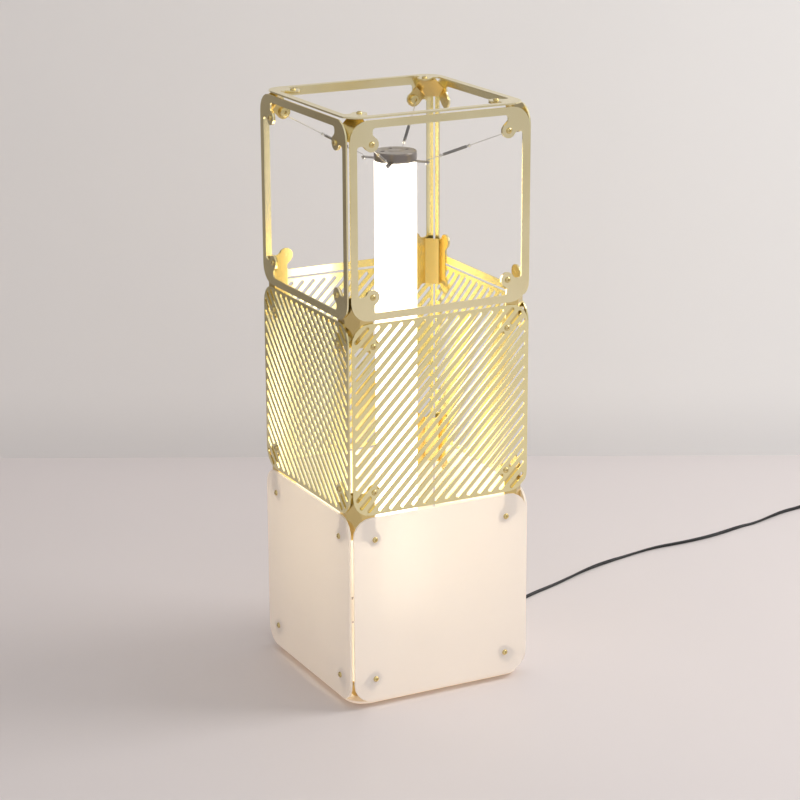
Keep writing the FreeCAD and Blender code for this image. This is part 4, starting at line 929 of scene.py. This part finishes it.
def make_bush():
    """Flanged bush with its nut, and a tapered ribbed sleeve along the cord."""
    outer = ACRYLIC_SHEET + 0.0025
    bore, neck, flange = 0.0028, 0.0047, 0.0075
    sleeve_begin, sleeve_end = 0.0048, 0.0032
    profile = [(bore, -0.0025), (0.0068, -0.0025), (flange, -0.0018), (flange, 0), (neck, 0),
               (neck, ACRYLIC_SHEET), (flange, ACRYLIC_SHEET), (flange, outer - 0.0008),
               (0.0067, outer), (0.0052, outer)]
    ribs, length = 7, 0.026
    for i in range(ribs):
        for share, sink in ((0.0, 0.0), (0.55, 0.0), (0.62, 0.0007), (0.93, 0.0007)):
            t = (i + share) / ribs
            profile.append((sleeve_begin + (sleeve_end - sleeve_begin) * t
                            - sink * (1 - 0.55 * t), outer + 0.0004 + (length - 0.0012) * t))
    profile += [(0.0031, outer + length - 0.0004), (bore + 0.0001, outer + length),
                (bore, outer + length)]
    form = bmesh.new()
    lathe(form, profile, OUTLET, Vector((1, 0, 0)), 40)
    bush = new_piece("ribbed_bush", form, "bush_plastic")
    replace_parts(bush, "outlet_bush")
    return bush


def plug_section(x, half_wide, half_high):
    """Rounded outline across the plug at a distance from its face."""
    sides, power = 40, 3.6
    ring = []
    for i in range(sides):
        angle = math.tau * i / sides
        c, s = math.cos(angle), math.sin(angle)
        ring.append(PLUG_FACE + Vector((x, half_wide * math.copysign(abs(c) ** (2 / power), c),
                                        half_high * math.copysign(abs(s) ** (2 / power), s))))
    return ring


def make_plug():
    """Moulded plug: a flat face with two pins, grooved grip and a ribbed neck for the cord."""
    stations = [(0.0, 0.0160, 0.0062), (0.0006, 0.0167, 0.0066), (0.0016, 0.0170, 0.0068),
                (0.0100, 0.0168, 0.0068)]
    for i in range(4):
        at = 0.0108 + 0.0026 * i
        wide = 0.0166 - 0.0003 * i
        stations += [(at, wide, 0.0067), (at + 0.0003, wide - 0.0007, 0.0060),
                     (at + 0.0011, wide - 0.0007, 0.0060), (at + 0.0014, wide - 0.0001, 0.0067)]
    stations += [(0.0225, 0.0140, 0.0065), (0.0265, 0.0105, 0.0060), (0.0305, 0.0078, 0.0055),
                 (0.0340, 0.0062, 0.0051)]
    for i in range(4):
        at, wide = 0.0352 + 0.0030 * i, 0.0056 - 0.0004 * i
        high = wide * 0.86
        stations += [(at, wide, high), (at + 0.0002, wide - 0.0007, high - 0.0007),
                     (at + 0.0012, wide - 0.0007, high - 0.0007),
                     (at + 0.0014, wide - 0.0001, high - 0.0001)]
    stations += [(0.0476, 0.0036, 0.0034), (0.048, 0.0033, 0.0031)]
    form = bmesh.new()
    skin_rings(form, [plug_section(*station) for station in stations])
    plug = new_piece("moulded_plug", form, "plug_plastic")
    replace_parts(plug, "plug_body")
    both_pins = bmesh.new()
    for sign in (1, -1):
        base = PLUG_FACE + Vector((0, sign * 0.0093, 0))
        lathe(both_pins, [(0.0019, -0.001), (0.0019, 0.0098), (0.0020, 0.0101),
                          (0.0020, 0.0172), (0.0018, 0.0181), (0.0013, 0.0187),
                          (0.0006, 0.0190)], base, Vector((-1, 0, 0)), 28, closed=False)
    pins = new_piece("round_pins", both_pins, "pin_metal")
    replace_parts(pins, "plug_pins")
    return plug, pins


# ---- carried-over CAD nodes -----------------------------------------------------

# finish, width of the broken edges, and how the nodes' names begin
CAD_FINISH = (
    ("frame_brass", 0.00045, ("lid_frame", "upper_frame_")),
    ("slotted_brass", 0.0003, ("slotted_panel_",)),
    ("frosted_acrylic", 0.0005, ("diffuser_front", "diffuser_back")),
    ("base_acrylic", 0.0005, ("base_panel",)),
    ("hub_brass", 0.0003, ("top_corner_hub", "bottom_corner_hub", "upper_joint_hub",
                           "lower_joint_hub")),
    ("cap_metal", 0.0003, ("lower_cap",)),
    ("hook_steel", 0.0002, ("upper_hook_plate", "lower_hook_plate")),
    ("core_aluminium", 0.0003, ("led_core",)),
    ("led_strip", 0.0001, ("led_strips",)),
    ("driver_case", 0.0005, ("driver",)),
    ("bush_plastic", 0.0003, ("tube_gland",)),
    ("switch_plastic", 0.0006, ("switch_base", "switch_cover")),
    ("rocker_plastic", 0.0004, ("switch_rocker",)),
    ("tie_plastic", 0.0002, ("cord_tie",)),
)


def finish_cad_node(node, finish, edge):
    """The finish, fine broken edges and smooth rounds."""
    for place in node.material_slots:
        place.material = finish
    if not node.material_slots:
        node.data.materials.append(finish)
    for face in node.data.polygons:
        face.use_smooth = True
    node.data.set_sharp_from_angle(angle=SHARP_CAD_EDGE)
    rounding = node.modifiers.new("broken_edges", "BEVEL")
    rounding.width = edge
    rounding.segments = 2
    rounding.limit_method = "ANGLE"
    rounding.angle_limit = BROKEN_EDGE
    rounding.harden_normals = True


def finish_cad_nodes():
    for slot, edge, beginnings in CAD_FINISH:
        for name, node in NODES.items():
            if name.startswith(beginnings):
                finish_cad_node(node, FINISHES[slot], edge)


# ---- stage and lights -----------------------------------------------------------

WALL_FOOT = Vector((0.4029, 0.7665, 0))
WALL_HALF, WALL_HEIGHT = 6, 5
WALL_SHADE_HEIGHT = 0.13
VIEW_RIGHT = Vector((0.8888, -0.4582, 0))


def stage_plane(name, corners, material):
    mesh = bpy.data.meshes.new(name)
    mesh.from_pydata([tuple(corner) for corner in corners], [], [(0, 1, 2, 3)])
    mesh.materials.append(material)
    new_object(name, mesh)


def stage_paint(tree, place, near, far, beyond):
    """Pale paint with faint marks. The tone goes from left (near) to right (far), and well outside
    the view on the left it goes on to the tone (beyond). On the wall these are painted shade:
    darker on the left, and a dark painted patch far left for the metal to reflect."""
    across = add(tree, "ShaderNodeVectorMath", (-900, 0), {0: place, 1: tuple(VIEW_RIGHT)},
                 operation="DOT_PRODUCT").outputs["Value"]
    in_view = remap(tree, across, (-700, 0), from_min=-0.9, from_max=0.9)
    outside = remap(tree, across, (-700, 300), True, from_min=-0.75, from_max=-1.35)
    tone = mixed(tree, in_view, near, far, (-400, 0))
    tone = mixed(tree, outside, tone, beyond, (-250, 200))
    marks = add(tree, "ShaderNodeTexNoise", (-700, -300),
                {"Vector": place, "Scale": 2.3, "Detail": 6.0}).outputs["Fac"]
    shade = mixed(tree, marks, (0.965, 0.965, 0.965), (1, 1, 1), (-400, -300))
    return mixed(tree, 1.0, tone, shade, (-100, 0), "MULTIPLY")


def stage_material(name, near, far, beyond, rough):
    material, tree, shader = new_material(name)
    place = object_place(tree, (-1100, 0))
    tone = stage_paint(tree, place, near, far, beyond)
    feed(tree, shader, {"Base Color": tone, "Roughness": rough, "Specular IOR Level": 0.3})
    return material, tree, shader, place, tone


def wall_material():
    """Paint with a soft shade at the wall's foot, seen through from behind."""
    # painted shade: the wall darkens towards the left and turns dark well outside the view on the
    # left, standing in for a dark room in the reflections
    material, tree, shader, place, tone = stage_material(
        "pale_wall", (0.875, 0.845, 0.83), (0.965, 0.96, 0.955), (0.30, 0.265, 0.235), 0.8)
    height = add(tree, "ShaderNodeSeparateXYZ", (-700, 600), {0: place}).outputs["Z"]
    foot = remap(tree, height, (-500, 600), True, from_max=WALL_SHADE_HEIGHT)
    shaded = mixed(tree, foot, (0.89, 0.89, 0.895), (1, 1, 1), (-250, 600))
    feed(tree, shader, {"Base Color": mixed(tree, 1.0, tone, shaded, (150, 150), "MULTIPLY")})
    surface = shader.outputs[0].links[0].to_socket
    behind = add(tree, "ShaderNodeNewGeometry", (300, 400)).outputs["Backfacing"]
    clear = add(tree, "ShaderNodeBsdfTransparent", (500, 300)).outputs[0]
    pick = add(tree, "ShaderNodeMixShader", (750, 200),
               {0: behind, 1: shader.outputs[0], 2: clear})
    tree.links.new(pick.outputs[0], surface)
    return material


def make_stage():
    floor = stage_material("pale_floor", (0.725, 0.67, 0.667), (0.71, 0.66, 0.658),
                           (0.71, 0.655, 0.65), 0.42)[0]
    stage_plane("floor", [(-7, -8, 0), (8, -8, 0), (8, 7, 0), (-7, 7, 0)], floor)
    left = WALL_FOOT - VIEW_RIGHT * WALL_HALF
    right = WALL_FOOT + VIEW_RIGHT * WALL_HALF
    stage_plane("wall", [left, right, right + UP * WALL_HEIGHT, left + UP * WALL_HEIGHT],
                wall_material())


def soft_light(name, place, size, power, colour):
    """A rectangle of light that faces the lamp's middle."""
    lamp = bpy.data.lights.new(name, "AREA")
    lamp.shape = "RECTANGLE"
    lamp.size, lamp.size_y = size
    lamp.energy = power
    lamp.color = colour
    carrier = new_object(name, lamp)
    carrier.location = place
    ahead = Vector((0, 0, 0.4)) - Vector(place)
    carrier.rotation_euler = ahead.to_track_quat("-Z", "Y").to_euler()


def make_lights():
    world = bpy.data.worlds.new("pale_room")
    world.use_nodes = True
    feed(world.node_tree, world.node_tree.nodes["Background"],
         {"Color": (1.0, 0.992, 0.985, 1), "Strength": 0.62})
    bpy.context.scene.world = world
    soft_light("key_softbox", (2.2, -0.9, 2.4), (1.4, 1.4), 47, (1.0, 0.985, 0.965))
    soft_light("front_fill", (-0.6, -3.6, 2.6), (2.4, 2.0), 14, (1.0, 0.99, 0.98))


# ---- the lamp -------------------------------------------------------------------

bpy.context.scene.view_settings.view_transform = "Standard"
FINISHES = make_finishes()
place_camera()
made_cords = make_cords()
made_bush = make_bush()
made_plug, made_pins = make_plug()
make_screws()
make_anchors()
make_feet()
make_lines()
make_tube()
finish_cad_nodes()
make_stage()
make_lights()
